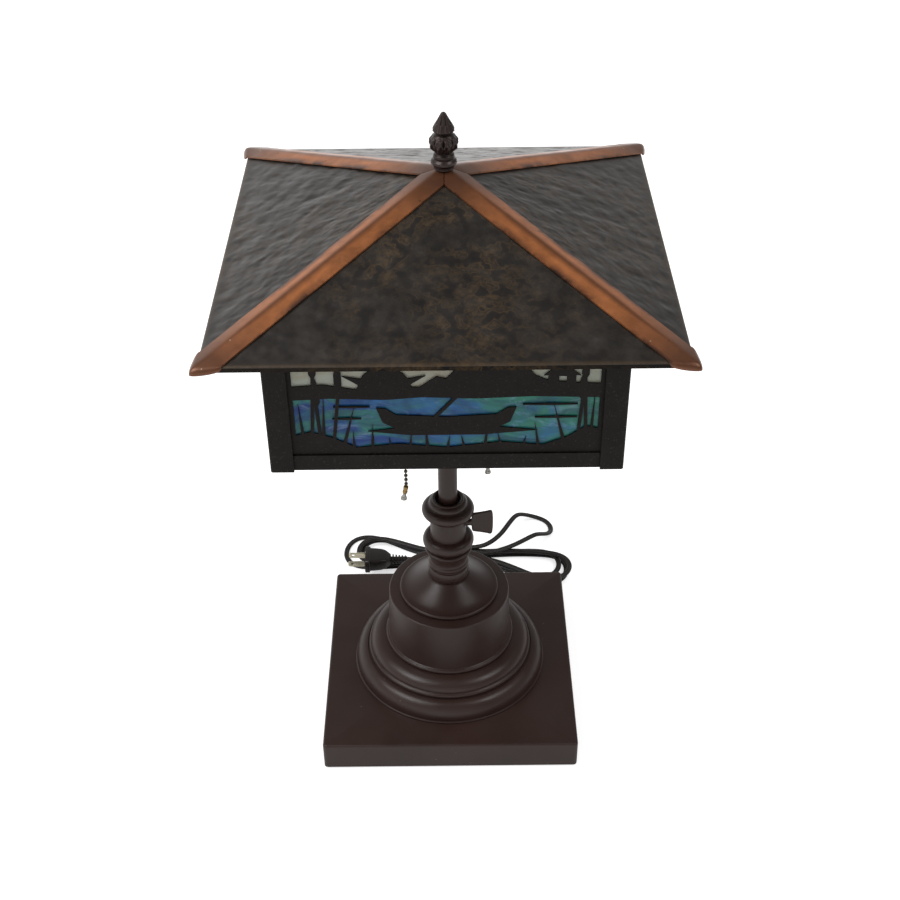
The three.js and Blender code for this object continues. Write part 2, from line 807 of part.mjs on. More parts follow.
const filigreeTopZ = roofZ(filigreeOuter, -panelThick) - seatGap;
const glassTopZ = roofZ(glassOuter, -panelThick) - seatGap;
const paneHalf = glassInner - seatGap - 2 * frameWall;
const windowHalf = paneHalf + 2 * frameWall - windowSide;
const windowBottomZ = wallBottomZ + windowSill;
const windowHeight = filigreeTopZ - windowHead - windowBottomZ;
const shoreZ = windowBottomZ + shoreShare * windowHeight;

function cornerPost() {
  const half = bandSide / 2;
  const inside = half - postThick;
  const edge = half - postWidth;
  const section = [
    [half, -half], [half, -edge], [inside, -edge], [inside, -inside], [edge, -inside], [edge, -half],
  ];
  const shape = new THREE.Shape(section.map(([x, y]) => new THREE.Vector2(x, y)));
  const depth = bandTopZ - bandBottomZ;
  const post = new THREE.ExtrudeGeometry(shape, { depth, bevelEnabled: false });
  return closedBody(post.translate(0, 0, bandBottomZ));
}

function bottomFrame() {
  const top = frameBottomZ + frameHeight;
  const innerTop = frameBottomZ + frameInnerHeight;
  return squareRing([
    [frameOuter, frameBottomZ],
    [frameOuter, top],
    [frameOuter - frameWall, top],
    [frameOuter - frameWall, frameFloorZ],
    [frameInner + frameWall, frameFloorZ],
    [frameInner + frameWall, innerTop],
    [frameInner, innerTop],
    [frameInner, frameBottomZ],
  ]);
}

function pane(bottom, top) {
  return box([-paneHalf, -glassOuter, bottom], [paneHalf, -glassInner, top]);
}

// Pierced scene: a lake shore with a sunrise, hills, a cabin, cattails and a beached canoe,
// cut from one sheet. Outlines are shares [across, up] of the window, and every motif crosses
// the border or another motif, so the sheet stays in one piece.
const reedWidth = 2.4;
const reedHeadWidth = 5.2;
const reedHeadLength = 17;
const reedTip = 7;
const bladeWidth = 3.6;
const grassWidth = 3.2;
const grassCount = 11;
const grassStartShare = 0.16;
const grassSpanShare = 0.68;
const grassTallShare = 0.2;
const grassSwayShare = 0.07;
const grassLeanShare = 0.018;
const rippleHeight = 1.7;
const sunRadius = 19;
const sunRayLength = 12;
const sunRayWidth = 3;
const sunSteps = 8;
const sunShares = [0.3, 0.55];
const shoreTopShares = [
  [1.02, 0.59], [0.9, 0.6], [0.8, 0.57], [0.7, 0.6], [0.55, 0.56], [0.42, 0.575],
  [0.2, 0.56], [0.1, 0.6], [-0.02, 0.58],
];
const shoreBottomShares = [
  [-0.02, 0.47], [0.12, 0.485], [0.3, 0.47], [0.42, 0.49], [0.6, 0.475], [0.78, 0.49], [1.02, 0.475],
];
const hillShares = [
  [0.4, 0.55], [0.47, 0.66], [0.5, 0.64], [0.565, 0.8], [0.6, 0.75], [0.64, 0.93],
  [0.7, 0.78], [0.735, 0.81], [0.79, 0.66], [0.83, 0.62], [0.86, 0.55],
];
const cabinShares = [
  [0.83, 0.57], [0.83, 0.66], [0.815, 0.66], [0.842, 0.71], [0.842, 0.755], [0.856, 0.755],
  [0.856, 0.735], [0.875, 0.765], [0.935, 0.66], [0.92, 0.66], [0.92, 0.57],
];
const cabinWindowShares = [[0.865, 0.61], [0.89, 0.61], [0.89, 0.655], [0.865, 0.655]];
const groundShares = [
  [-0.02, -0.04], [1.02, -0.04], [1.02, 0.2], [0.96, 0.23], [0.9, 0.14], [0.82, 0.07], [0.68, 0.1],
  [0.5, 0.055], [0.34, 0.09], [0.2, 0.06], [0.12, 0.15], [0.05, 0.2], [-0.02, 0.16],
];
const bankShares = [[0.24, 0.2], [0.36, 0.235], [0.66, 0.235], [0.8, 0.2], [0.62, 0.165], [0.38, 0.165]];
const canoeShares = [
  [0.27, 0.4], [0.29, 0.275], [0.34, 0.215], [0.66, 0.215], [0.71, 0.275], [0.73, 0.4],
  [0.7, 0.395], [0.665, 0.34], [0.5, 0.32], [0.335, 0.34], [0.3, 0.395],
];
const paddleShares = [[0.44, 0.28], [0.455, 0.28], [0.545, 0.5], [0.53, 0.5]];
const rippleShares = [[0.13, 0.41, 0.25], [0.125, 0.31, 0.22], [0.75, 0.42, 0.93], [0.79, 0.31, 0.93]];
const reedShares = [
  [0.05, 0.07, 0.9], [0.085, 0.075, 0.66], [0.12, 0.15, 0.78], [0.93, 0.945, 0.7], [0.965, 0.95, 0.88],
];
const leafShares = [
  [0.03, 0.015, 0.44], [0.09, 0.1, 0.52], [0.15, 0.2, 0.42], [0.9, 0.85, 0.44], [0.975, 0.985, 0.52],
];

function windowPoint([across, up]) {
  return [(2 * across - 1) * windowHalf, windowBottomZ + up * windowHeight];
}

function scenePlate(outline, holes = []) {
  return uprightPlate(outline, -filigreeOuter, filigreeThick - filigreeOuter, holes);
}

// A pointed leaf from a foot on the ground to a tip.
function leafPlate(foot, tip, width) {
  const [footX, footZ] = foot;
  return scenePlate([[footX - width / 2, footZ], [footX + width / 2, footZ], tip]);
}

function cattails() {
  return reedShares.map(([foot, top, up]) => {
    const [footX, footZ] = windowPoint([foot, 0]);
    const [topX, topZ] = windowPoint([top, up]);
    const headZ = topZ - reedTip;
    const [stem, head] = [reedWidth / 2, reedHeadWidth / 2];
    return scenePlate([
      [footX - stem, footZ],
      [footX + stem, footZ],
      [topX + stem, headZ - reedHeadLength],
      [topX + head, headZ - reedHeadLength + head],
      [topX + head, headZ - head],
      [topX, topZ],
      [topX - head, headZ - head],
      [topX - head, headZ - reedHeadLength + head],
      [topX - stem, headZ - reedHeadLength],
    ]);
  });
}

function sunrise() {
  const [x, z] = windowPoint(sunShares);
  const disc = Array.from({ length: sunSteps + 1 }, (_, i) => {
    const angle = (Math.PI * i) / sunSteps;
    return [x + sunRadius * Math.cos(angle), z + sunRadius * Math.sin(angle)];
  });
  const rays = Array.from({ length: sunSteps / 2 }, (_, i) => {
    const angle = (Math.PI * (2 * i + 1)) / sunSteps;
    const [c, s] = [Math.cos(angle), Math.sin(angle)];
    const [inner, outer] = [sunRadius - sunRayWidth, sunRadius + sunRayLength];
    return scenePlate([
      [x + inner * c + sunRayWidth * s, z + inner * s - sunRayWidth * c],
      [x + outer * c, z + outer * s],
      [x + inner * c - sunRayWidth * s, z + inner * s + sunRayWidth * c],
    ]);
  });
  return [scenePlate(disc), ...rays];
}

function grass() {
  return Array.from({ length: grassCount }, (_, i) => {
    const across = grassStartShare + (grassSpanShare * (i + 0.5)) / grassCount;
    const tall = grassTallShare + grassSwayShare * Math.sin(2 * i);
    const lean = grassLeanShare * Math.sin(3 * i);
    return leafPlate(windowPoint([across, 0]), windowPoint([across + lean, tall]), grassWidth);
  });
}

function ripples() {
  return rippleShares.map(([from, up, to]) => {
    const [startX, z] = windowPoint([from, up]);
    const [endX] = windowPoint([to, up]);
    return scenePlate([
      [startX, z - rippleHeight / 4],
      [(startX + endX) / 2, z - rippleHeight / 2],
      [endX, z - rippleHeight / 4],
      [endX, z + rippleHeight / 4],
      [(startX + endX) / 2, z + rippleHeight / 2],
      [startX, z + rippleHeight / 4],
    ]);
  });
}

function filigree() {
  const half = paneHalf + 2 * frameWall;
  const corners = [[0, 0], [1, 0], [1, 1], [0, 1]].map(windowPoint);
  const rim = [
    [-half, wallBottomZ], [half, wallBottomZ], [half, filigreeTopZ], [-half, filigreeTopZ],
  ];
  const leaves = leafShares.map(([foot, tip, up]) =>
    leafPlate(windowPoint([foot, 0]), windowPoint([tip, up]), bladeWidth));
  const motifs = [
    [...shoreBottomShares, ...shoreTopShares], hillShares, groundShares, bankShares, canoeShares,
    paddleShares,
  ].map((shares) => scenePlate(shares.map(windowPoint)));
  const cabin = scenePlate(cabinShares.map(windowPoint), [cabinWindowShares.map(windowPoint)]);
  return join(
    scenePlate(rim, [corners]), ...motifs, cabin, ...sunrise(), ...cattails(), ...leaves,
    ...grass(), ...ripples(),
  );
}

// Cord: flat twin lamp cord, from the bushing to a tied hank behind the foot and on to a plug.
const cordWidth = 5.2;
const cordThick = 2.9;
const cordPitch = 3.5;
const cordLift = 0.1;
const cordFloorZ = cordThick / 2 + cordLift;
const hankX = 8;
const hankY = 158;
const hankWaist = 3.2;
const hankRise = 30;
const hankSwingShare = 0.8;
const hankSinkFrom = 0.72;
const lobeSteps = 12;
const hankLobes = [
  { side: 1, reach: 112, swing: -10, half: 52 },
  { side: -1, reach: 114, swing: 8, half: 58 },
  { side: 1, reach: 104, swing: -8, half: 48 },
  { side: -1, reach: 97, swing: 6, half: 46 },
  { side: 1, reach: 113, swing: -11, half: 47 },
  { side: -1, reach: 100, swing: 5, half: 46 },
  { side: 1, reach: 114, swing: 30, half: 46 },
];
const outlineSix = [[1, 0], [0.6, 1], [-0.6, 1], [-1, 0], [-0.6, -1], [0.6, -1]];
const outlineEight = [
  [1, 0.45], [0.6, 1], [-0.6, 1], [-1, 0.45], [-1, -0.45], [-0.6, -1], [0.6, -1], [1, -0.45],
];

// Rings of a flat cord along a line of points, its width kept level.
function cordRings(line, outline) {
  return line.map((point, i) => {
    const before = line[Math.max(i - 1, 0)];
    const after = line[Math.min(i + 1, line.length - 1)];
    const along = after.clone().sub(before).normalize();
    const side = new THREE.Vector3(along.y, -along.x, 0).normalize();
    const up = side.clone().cross(along);
    return outline.map(([wide, high]) => point.clone()
      .addScaledVector(side, (wide * cordWidth) / 2)
      .addScaledVector(up, (high * cordThick) / 2)
      .toArray());
  });
}

// The hank's line: lobes to the right and the left in turn. A right lobe lies on its layer and
// climbs to the next as it nears the waist; a left lobe sinks one layer once it leaves the waist.
function hankLine() {
  const points = [];
  hankLobes.forEach(({ side, reach, swing, half }, lobe) => {
    const layer = Math.ceil(lobe / 2);
    const isLast = lobe === hankLobes.length - 1;
    for (let i = 1; i <= lobeSteps; i++) {
      const turn = side * (-quarterTurn + (Math.PI * i) / lobeSteps);
      const [c, s] = [Math.cos(turn), Math.sin(turn)];
      const away = reach * c;
      const across = s * (hankWaist + (half - hankWaist) * c * c);
      const swung = THREE.MathUtils.degToRad(swing) * THREE.MathUtils.smoothstep(c, 0, hankSwingShare);
      const nearWaist = Math.max(0, 1 - away / hankRise);
      let level = layer;
      if (side > 0 && s > 0) level += nearWaist;
      if (side < 0) level -= 1 - nearWaist;
      if (isLast) level -= layer * THREE.MathUtils.smoothstep(c, hankSinkFrom, 1);
      points.push(new THREE.Vector3(
        hankX + side * (away * Math.cos(swung) - across * Math.sin(swung)),
        hankY + away * Math.sin(swung) + across * Math.cos(swung),
        cordFloorZ + level * cordPitch,
      ));
    }
  });
  return points;
}

// A line with a straight end of one cord width put before its first and after its last point.
function withStraightEnds(line) {
  const first = line[0].clone().sub(line[1]).setLength(cordWidth).add(line[0]);
  const last = line.at(-1).clone().sub(line.at(-2)).setLength(cordWidth).add(line.at(-1));
  return [first, ...line, last];
}

const hankPath = withStraightEnds(hankLine());
const gapSpots = 3;
const gapRings = 3;

// Where a stretch of cord meets an end of the hank: a seat gap off its face, and one width on.
function beyond(end, inside) {
  const away = end.clone().sub(inside).normalize();
  return [seatGap, seatGap + cordWidth].map((step) => end.clone().addScaledVector(away, step));
}

// Least distance between the surfaces of runs of the hank that aren't neighbours along it.
function leastGap(line) {
  const spots = [];
  for (let i = 0; i + 1 < line.length; i++) {
    for (let k = 0; k < gapSpots; k++) spots.push(line[i].clone().lerp(line[i + 1], k / gapSpots));
  }
  const rings = cordRings(spots, outlineSix).map((ring) => ring.map((p) => new THREE.Vector3(...p)));
  let least = Infinity;
  rings.forEach((ring, i) => rings.slice(i + gapSpots * gapRings).forEach((other) => {
    for (const a of ring) for (const b of other) least = Math.min(least, a.distanceTo(b));
  }));
  return least;
}

// Plug: a moulded body with a ribbed strain relief and two flat blades.
const plugEndX = -42;
const plugY = 141;
const plugZ = 18;
const plugCorner = 2;
const reliefHalfY = 3.8;
const reliefHalfZ = 2.8;
const ribHigh = 1.1;
const ribCount = 4;
const ribPitch = 3.5;
const gripStart = 17;
const gripLength = 20;
const gripHalfY = 11;
const gripHalfZ = 7;
const gripNeck = 4;
const flangeLength = 5;
const flangeOut = 1.6;
const bladeLength = 16.5;
const bladeHalfZ = 3.15;
const bladeThick = 1.5;
const bladeSpan = 12.7;
const bladeHole = 1.6;
const bladeHoleInset = 4;
const plugFaceX = plugEndX - gripStart - gripLength - flangeLength;

function plugBody() {
  const sections = [[0, reliefHalfY, reliefHalfZ]];
  for (let i = 0; i < ribCount; i++) {
    const start = (i + 0.5) * ribPitch;
    sections.push([start, reliefHalfY, reliefHalfZ]);
    sections.push([start + ribPitch / 4, reliefHalfY + ribHigh, reliefHalfZ + ribHigh]);
    sections.push([start + ribPitch / 2, reliefHalfY + ribHigh, reliefHalfZ + ribHigh]);
    sections.push([start + (3 * ribPitch) / 4, reliefHalfY, reliefHalfZ]);
  }
  const flangeStart = gripStart + gripLength;
  sections.push(
    [gripStart, reliefHalfY, reliefHalfZ],
    [gripStart + gripNeck, gripHalfY - flangeOut, gripHalfZ - flangeOut],
    [flangeStart, gripHalfY, gripHalfZ],
    [flangeStart, gripHalfY + flangeOut, gripHalfZ + flangeOut / 2],
    [flangeStart + flangeLength, gripHalfY + flangeOut, gripHalfZ + flangeOut / 2],
  );
  const rings = sections.map(([along, halfY, halfZ]) =>
    roundedRectangle(halfY, halfZ, plugCorner, 0, 1).map(([y, z]) =>
      [plugEndX - along, plugY + y, plugZ + z]));
  return loft(rings);
}

function plugBlade(side) {
  const start = plugFaceX - seatGap;
  const end = start - bladeLength;
  const y = plugY + (side * bladeSpan) / 2;
  const blade = box(
    [end, y - bladeThick / 2, plugZ - bladeHalfZ], [start, y + bladeThick / 2, plugZ + bladeHalfZ]);
  const hole = rod(bladeHole, -bladeThick, bladeThick, nutSides).rotateX(quarterTurn);
  return cut(blade, hole.translate(end + bladeHoleInset, y, plugZ));
}

// The lead's and the tail's own points, chosen by hand, from the bushing and to the plug.
const leadPoints = [[0.6, 126.5, 8.8], [3.3, 136, 5.8], [8.8, 144.5, 3.2], [17, 150.4, 1.9]];
const tailPoints = [[-9.8, 154.2, 16.5], [-18.7, 148, 17.3], [-27.6, 142.9, 17.9]];
const stretchSteps = 14;

// A stretch of cord through a line of points, whose first and last runs stay straight.
function cordStretch(line) {
  const curve = new THREE.CatmullRomCurve3(line.slice(1, -1), false, 'centripetal');
  return loft(cordRings([line[0], ...curve.getPoints(stretchSteps), line.at(-1)], outlineEight));
}

function cordLead() {
  const start = new THREE.Vector3(0, bushingFaceY + seatGap, bushingZ);
  const [end, beforeEnd] = beyond(hankPath[0], hankPath[1]);
  const afterStart = start.clone().setY(start.y + cordWidth);
  const between = leadPoints.map((point) => new THREE.Vector3(...point));
  return cordStretch([start, afterStart, ...between, beforeEnd, end]);
}

function cordTail() {
  const [start, afterStart] = beyond(hankPath.at(-1), hankPath.at(-2));
  const end = new THREE.Vector3(plugEndX + seatGap, plugY, plugZ);
  const beforeEnd = end.clone().setX(end.x + cordWidth);
  const between = tailPoints.map((point) => new THREE.Vector3(...point));
  return cordStretch([start, afterStart, ...between, beforeEnd, end]);
}

// The lamp as a scene: base, mast and shade groups, and the cord behind them.
const base = new THREE.Group();
base.add(
  meshOf('foot_plate', footPlate(), finish.satinBrown),
  meshOf('foot_weight', footWeight(), finish.castIron),
  meshOf('felt_pad', feltPad(), finish.darkFelt),
  meshOf('cord_bushing', cordBushing(), finish.blackPlastic),
  meshOf('lower_plinth', lowerPlinth(), finish.satinBrown),
  meshOf('upper_plinth', upperPlinth(), finish.satinBrown),
  meshOf('drum', drum(), finish.satinBrown),
  meshOf('bell_cap', bellCap(), finish.satinBrown),
  meshOf('neck_lower', neck(), finish.satinBrown),
  meshOf('neck_collar', collar(), finish.satinBrown),
  meshOf('guide_tube', guideTube(), finish.zincSteel),
  meshOf('guide_nut', cut(
    rod(nutRadius, guideNutZ, guideWasherZ, nutSides),
    rod(guideRadius + slideGap, guideNutZ - overrun, guideWasherZ + overrun, tubeSteps),
  ), finish.zincSteel),
  meshOf('guide_washer', sleeve(
    guideWasherRadius, guideRadius + slideGap, guideWasherZ, weightBottomZ), finish.zincSteel),
  meshOf('clamp_screw', clampScrew(), finish.satinBrown),
);

const mast = new THREE.Group();
mast.add(
  meshOf('pole', sleeve(poleRadius, poleRadius - poleWall, poleBottomZ, poleTopZ), finish.satinBrown),
  meshOf('cluster', cluster(), finish.satinBrown),
  meshOf('riser_rod', rod(riserRadius, riserBottomZ, finialBaseZ + finialBore - seatGap), finish.zincSteel),
  meshOf('rest_nut', restNut(), finish.zincSteel),
  meshOf('rest_washer', sleeve(
    restWasherRadius, riserRadius + seatGap, restNutTopZ, restWasherTopZ), finish.zincSteel),
  meshOf('finial', finial(), finish.darkBronze),
);
for (const [name, side] of [['left', -1], ['right', 1]]) {
  mast.add(
    meshOf(`socket_${name}`, socket(side), finish.agedBrass),
    meshOf(`bulb_cap_${name}`, bulbCap(side), finish.paleBrass),
    meshOf(`bulb_glass_${name}`, bulbGlass(side), finish.frostedGlass),
  );
  const chain = meshOf(`pull_chain_${name}`, pullChain(), finish.agedBrass);
  chain.position.set(side * chainX, side * chainY, 0);
  mast.add(chain);
}

const shade = new THREE.Group();
shade.add(
  meshOf('apex_plate', apexPlate(), finish.zincSteel),
  meshOf('bottom_frame', bottomFrame(), finish.etchedBronze),
);
['front', 'right', 'back', 'left'].forEach((name, i) => {
  const corner = ['front_right', 'back_right', 'back_left', 'front_left'][i];
  const wall = new THREE.Group();
  wall.rotation.z = i * quarterTurn;
  wall.add(
    meshOf(`roof_panel_${name}`, roofPanel(), finish.hammeredBronze),
    meshOf(`filigree_${name}`, filigree(), finish.etchedBronze),
    meshOf(`glass_water_${name}`, pane(wallBottomZ, shoreZ), finish.waterGlass),
    meshOf(`glass_sky_${name}`, pane(shoreZ + seatGap, glassTopZ), finish.skyGlass),
    meshOf(`ridge_strip_${corner}`, ridgeStrip(), finish.wornCopper),
    meshOf(`corner_post_${corner}`, cornerPost(), finish.etchedBronze),
  );
  shade.add(wall);
});

const cord = new THREE.Group();
cord.add(
  meshOf('cord_lead', cordLead(), finish.blackPlastic),
  meshOf('cord_hank', loft(cordRings(hankPath, outlineSix)), finish.blackPlastic),
  meshOf('cord_tail', cordTail(), finish.blackPlastic),
  meshOf('plug_body', plugBody(), finish.blackPlastic),
  meshOf('plug_blade_front', plugBlade(-1), finish.paleBrass),
  meshOf('plug_blade_back', plugBlade(1), finish.paleBrass),
);
console.log(`least gap of the hank to itself: ${leastGap(hankPath).toFixed(2)} mm`);

const lamp = new THREE.Group();
lamp.add(base, mast, shade, cord);

export default lamp;
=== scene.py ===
import math

import bpy
import numpy as np
from mathutils import Matrix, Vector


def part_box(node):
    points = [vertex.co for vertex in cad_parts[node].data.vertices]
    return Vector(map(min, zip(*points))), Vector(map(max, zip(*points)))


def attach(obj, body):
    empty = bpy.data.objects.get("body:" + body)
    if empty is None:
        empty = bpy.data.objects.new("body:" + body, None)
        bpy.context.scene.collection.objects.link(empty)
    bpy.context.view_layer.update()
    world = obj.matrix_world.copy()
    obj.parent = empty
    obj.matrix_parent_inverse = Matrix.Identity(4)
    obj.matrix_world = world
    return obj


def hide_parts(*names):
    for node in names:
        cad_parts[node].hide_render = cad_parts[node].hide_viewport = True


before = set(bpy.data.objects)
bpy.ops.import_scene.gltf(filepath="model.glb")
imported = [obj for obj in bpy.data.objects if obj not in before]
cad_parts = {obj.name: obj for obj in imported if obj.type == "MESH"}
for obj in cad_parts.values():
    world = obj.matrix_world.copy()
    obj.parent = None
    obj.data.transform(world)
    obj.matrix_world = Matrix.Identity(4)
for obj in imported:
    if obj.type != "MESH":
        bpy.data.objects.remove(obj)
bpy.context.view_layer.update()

bl_info = {
    "name": "Slag Glass Table Lamp",
    "version": (1, 0, 0),
    "blender": (4, 5, 0),
    "location": "View3D > Sidebar > Lamp",
    "description": "Surfaces, cord and studio for a square-shaded table lamp",
    "category": "Add Mesh",
}

MM = 0.001
WALLS = ("front", "right", "back", "left")
CORNERS = ("front_right", "back_right", "back_left", "front_left")
SIDES = (("left", -1), ("right", 1))

# The camera, solved from the photograph's corners, and the studio round it, in metres.
CAMERA_PLACE = (0.0025, -0.9119, 0.9618)
CAMERA_YAW, CAMERA_PITCH, CAMERA_ROLL = 0.0003, 0.6535, -0.0104
CAMERA_FOCAL, CAMERA_SENSOR, CAMERA_CLIP = 1401.8 / 900, 36.0, (0.05, 50.0)
FLOOR_HALF, FLOOR_LIFT, FLOOR_MIRRORED, FLOOR_FADE = 6.0, 0.6, (0.05, 1.0), (0.9, 1.8)
WORLD_LIGHT, CEILING_LIGHT, RIGHT_WALL = 0.5, 0.12, 0.36
CEILING_FADE, RIGHT_FADE = (8, 50), (-0.1, 0.6)
LIGHTS = (
    ("softbox_left", (-1.14, -0.36, 2.08), (32, 0, -72), 1.0, 22.0),
    ("softbox_right", (1.14, -0.36, 2.08), (32, 0, 72), 0.8, 10.0),
)

# The hank's lobes: side, reach, swing in degrees and half width, about the waist where it is tied.
HANK_LOBES = (
    (1, 112, -10, 52), (-1, 114, 8, 58), (1, 104, -8, 48), (-1, 97, 6, 46), (1, 115, -11, 47),
    (-1, 100, 5, 46), (1, 111.2, 30, 46),
)
# The tie: its place and half its width. The cord's height on the floor, and from one layer to the next.
WAIST, WAIST_HALF, CORD_FLOOR, CORD_PITCH = (8.0, 158.0), 3.2, 1.55, 3.5
# The cord's free ends: from the bushing to the hank, and from the hank to the plug.
LEAD = (
    (0, 113.3, 10), (0, 118.5, 10), (0.6, 126.5, 8.8), (3.3, 136, 5.8), (8.8, 144.5, 3.2), (17, 150.4, 1.9),
)
TAIL = ((-9.8, 154.2, 16.5), (-18.7, 148, 17.3), (-27.6, 142.9, 17.9), (-36.5, 141, 18), (-41.9, 141, 18))

# The roof: how far out its panels start, their gap at a hip, and how wide the dents of a panel are and how
# many hammer depths deep.
ROOF_START, HIP_GAP = 4.2, 0.15
DENTS, DENTS_ON = (9.0, 1.3), {"back": (9.0, 1.8), "left": (12.0, 2.0)}


def mm(node, axis, end=1):
    """One coordinate of a node's box in millimetres: end 0 is its lowest corner, 1 its highest."""
    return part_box(node)[end][axis] / MM


def span(node):
    """A node's lowest and highest corner in millimetres."""
    return [np.array(corner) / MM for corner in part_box(node)]


def linear(code):
    """A colour from six hex digits: each byte as a share of 255, with the sRGB curve undone."""
    share = [int(code[i:i + 2], 16) / 255 for i in (0, 2, 4)]
    return [s / 12.92 if s <= 0.04045 else ((s + 0.055) / 1.055) ** 2.4 for s in share]


def length(name, words, value):
    return bpy.props.FloatProperty(
        name=name, description=words, default=value, min=0.0, subtype="DISTANCE", unit="LENGTH")


def colour(name, words, code):
    return bpy.props.FloatVectorProperty(
        name=name, description=words, default=linear(code), min=0.0, max=1.0, subtype="COLOR")


class LampSizes(bpy.types.PropertyGroup):
    """Lengths of the lamp, in metres."""
    foot_side: length("Foot side", "Side of the square foot", 2 * mm("foot_plate", 0) * MM)
    foot_top: length("Foot top", "Height of the foot's upper face", mm("foot_plate", 2) * MM)
    pole_radius: length("Pole radius", "Outside radius of the sliding pole", mm("pole", 0) * MM)
    band_side: length("Band side", "Outside width of the glazed band",
                      2 * mm("corner_post_front_right", 0) * MM)
    hammer: length("Hammer depth", "Depth of the hammered dents in the roof", 0.00026)
    cord_width: length("Cord width", "Width of the flat twin cord", 0.0052)
    cord_thickness: length("Cord thickness", "Thickness of the flat twin cord", 0.0029)


class LampColours(bpy.types.PropertyGroup):
    """Colours of the lamp's finishes."""
    paint: colour("Paint", "Satin brown of the foot and the column", "34241f")
    bronze: colour("Bronze", "Dark ground of the hammered roof", "2c2825")
    gold: colour("Gold", "Worn veins of the hammered roof", "6b5231")
    copper: colour("Copper", "Bright copper of the ridge strips", "bd7442")
    patina: colour("Patina", "Dark tone of the copper and its noses", "50301f")
    etched: colour("Etched bronze", "Pierced sheets, posts and rails", "181513")
    sky: colour("Sky glass", "Creamy glass above the shore", "bcc0b4")
    deep: colour("Deep water", "Deepest blue of the lower glass", "173f88")
    water: colour("Water", "Middle blue of the lower glass", "3574b0")
    shoal: colour("Shoal", "Green of the lower glass", "3c8b78")
    finial: colour("Finial", "Cast finial", "362b29")
    cord: colour("Cord", "Vinyl cord and plug", "211c1a")
    brass: colour("Brass", "Sockets and chains", "7d6236")
    blade: colour("Blade", "Plug blades and bulb caps", "d9d3ba")


def quads(rows, columns, wrap_rows=False, wrap_columns=False):
    """Corner numbers of the four-sided faces between neighbours of a grid stored row by row."""
    i = np.arange(rows if wrap_rows else rows - 1)[:, None]
    j = np.arange(columns if wrap_columns else columns - 1)[None, :]
    corner = [((i + a) % rows) * columns + (j + b) % columns for a, b in ((0, 0), (0, 1), (1, 1), (1, 0))]
    return np.stack(np.broadcast_arrays(*corner), -1).reshape(-1, 4)


def grid(x, y, z):
    """Points (..., 3) from three arrays that broadcast together."""
    return np.stack(np.broadcast_arrays(x, y, z), -1)


def skin(rings, closed=False):
    """A closed tube over rings of points (n, m, 3). An open one gets a fan to each end ring's mean."""
    n, m = rings.shape[:2]
    points = rings.reshape(-1, 3)
    if closed:
        return points, quads(n, m, True, True), np.zeros((0, 3), int)
    k, after = np.arange(m), (np.arange(m) + 1) % m
    first = np.stack([np.full(m, n * m), after, k], 1)
    last = np.stack([np.full(m, n * m + 1), (n - 1) * m + k, (n - 1) * m + after], 1)
    points = np.concatenate([points, rings[0].mean(0)[None], rings[-1].mean(0)[None]])
    return points, quads(n, m, False, True), np.concatenate([first, last])


def slab(upper, lower):
    """A sheet between two grids of points (n, m, 3), closed by a row of faces along its rim."""
    n, m = upper.shape[:2]
    under = n * m
    faces = quads(n, m)
    rim = np.concatenate([
        np.arange(m - 1), np.arange(n - 1) * m + m - 1,
        (n - 1) * m + np.arange(m - 1, 0, -1), np.arange(n - 1, 0, -1) * m,
    ])
    after = np.roll(rim, -1)
    edge = np.stack([after, rim, under + rim, under + after], 1)
    points = np.concatenate([upper.reshape(-1, 3), lower.reshape(-1, 3)])
    return points, np.concatenate([faces, faces[:, ::-1] + under, edge]), np.zeros((0, 3), int)


def arc(centre, radii, start, end, steps=12):
    """Points on an ellipse: centre + radii * (cos a, sin a), for a from start to end in degrees."""
    a = np.radians(np.linspace(start, end, steps + 1))
    return np.stack([centre[0] + radii[0] * np.cos(a), centre[1] + radii[1] * np.sin(a)], 1)


def off(r, z, *spots):
    """Profile points given by their distance from one point."""
    return [(r + out, z + up) for out, up in spots]


def bezier(a, b, c, d, steps=24):
    """A cubic Bezier: (1-t)^3 a + 3(1-t)^2 t b + 3(1-t) t^2 c + t^3 d."""
    t = np.linspace(0, 1, steps + 1)[:, None]
    a, b, c, d = (np.array(p, float) for p in (a, b, c, d))
    return (1 - t) ** 3 * a + 3 * (1 - t) ** 2 * t * b + 3 * (1 - t) * t ** 2 * c + t ** 3 * d


def around(steps):
    """Angles of even steps round a circle."""
    return np.linspace(0, 2 * np.pi, steps, endpoint=False)


def lathe(r, t, z):
    """Points (r cos t, r sin t, z)."""
    return grid(r * np.cos(t), r * np.sin(t), z)


def turned(*runs, steps=128, hollow=True):
    """A turned body: each profile point (r, z) goes round Z as (r cos t, r sin t, z)."""
    profile = np.concatenate([np.atleast_2d(run) for run in runs]).astype(float)
    return skin(lathe(profile[:, :1], around(steps), profile[:, 1:]), closed=hollow)


def rounded_rectangle(half_x, half_y, corner, steps=6):
    """Corners of a rectangle with round corners: four quarter circles of that radius, joined up."""
    a = np.linspace(0, np.pi / 2, steps + 1)
    spots = []
    for quarter, (sx, sy) in enumerate(((1, 1), (-1, 1), (-1, -1), (1, -1))):
        turn = a + quarter * np.pi / 2
        x = sx * (half_x - corner) + corner * np.cos(turn)
        y = sy * (half_y - corner) + corner * np.sin(turn)
        spots.append(np.stack([x, y], 1))
    return np.concatenate(spots)


def square_rings(levels, outer, corner, least, steps=6):
    """Square rings for levels (half side, height). A corner's radius shrinks with its ring, to a least."""
    return np.stack([np.pad(rounded_rectangle(side, side, max(least, corner - (outer - side)), steps),
                            ((0, 0), (0, 1)), constant_values=z) for side, z in levels])


def moved(shell, matrix):
    """A shell whose points are carried by a 4 x 4 matrix in millimetres."""
    m = np.array(matrix)
    return (shell[0] @ m[:3, :3].T + m[:3, 3], *shell[1:])


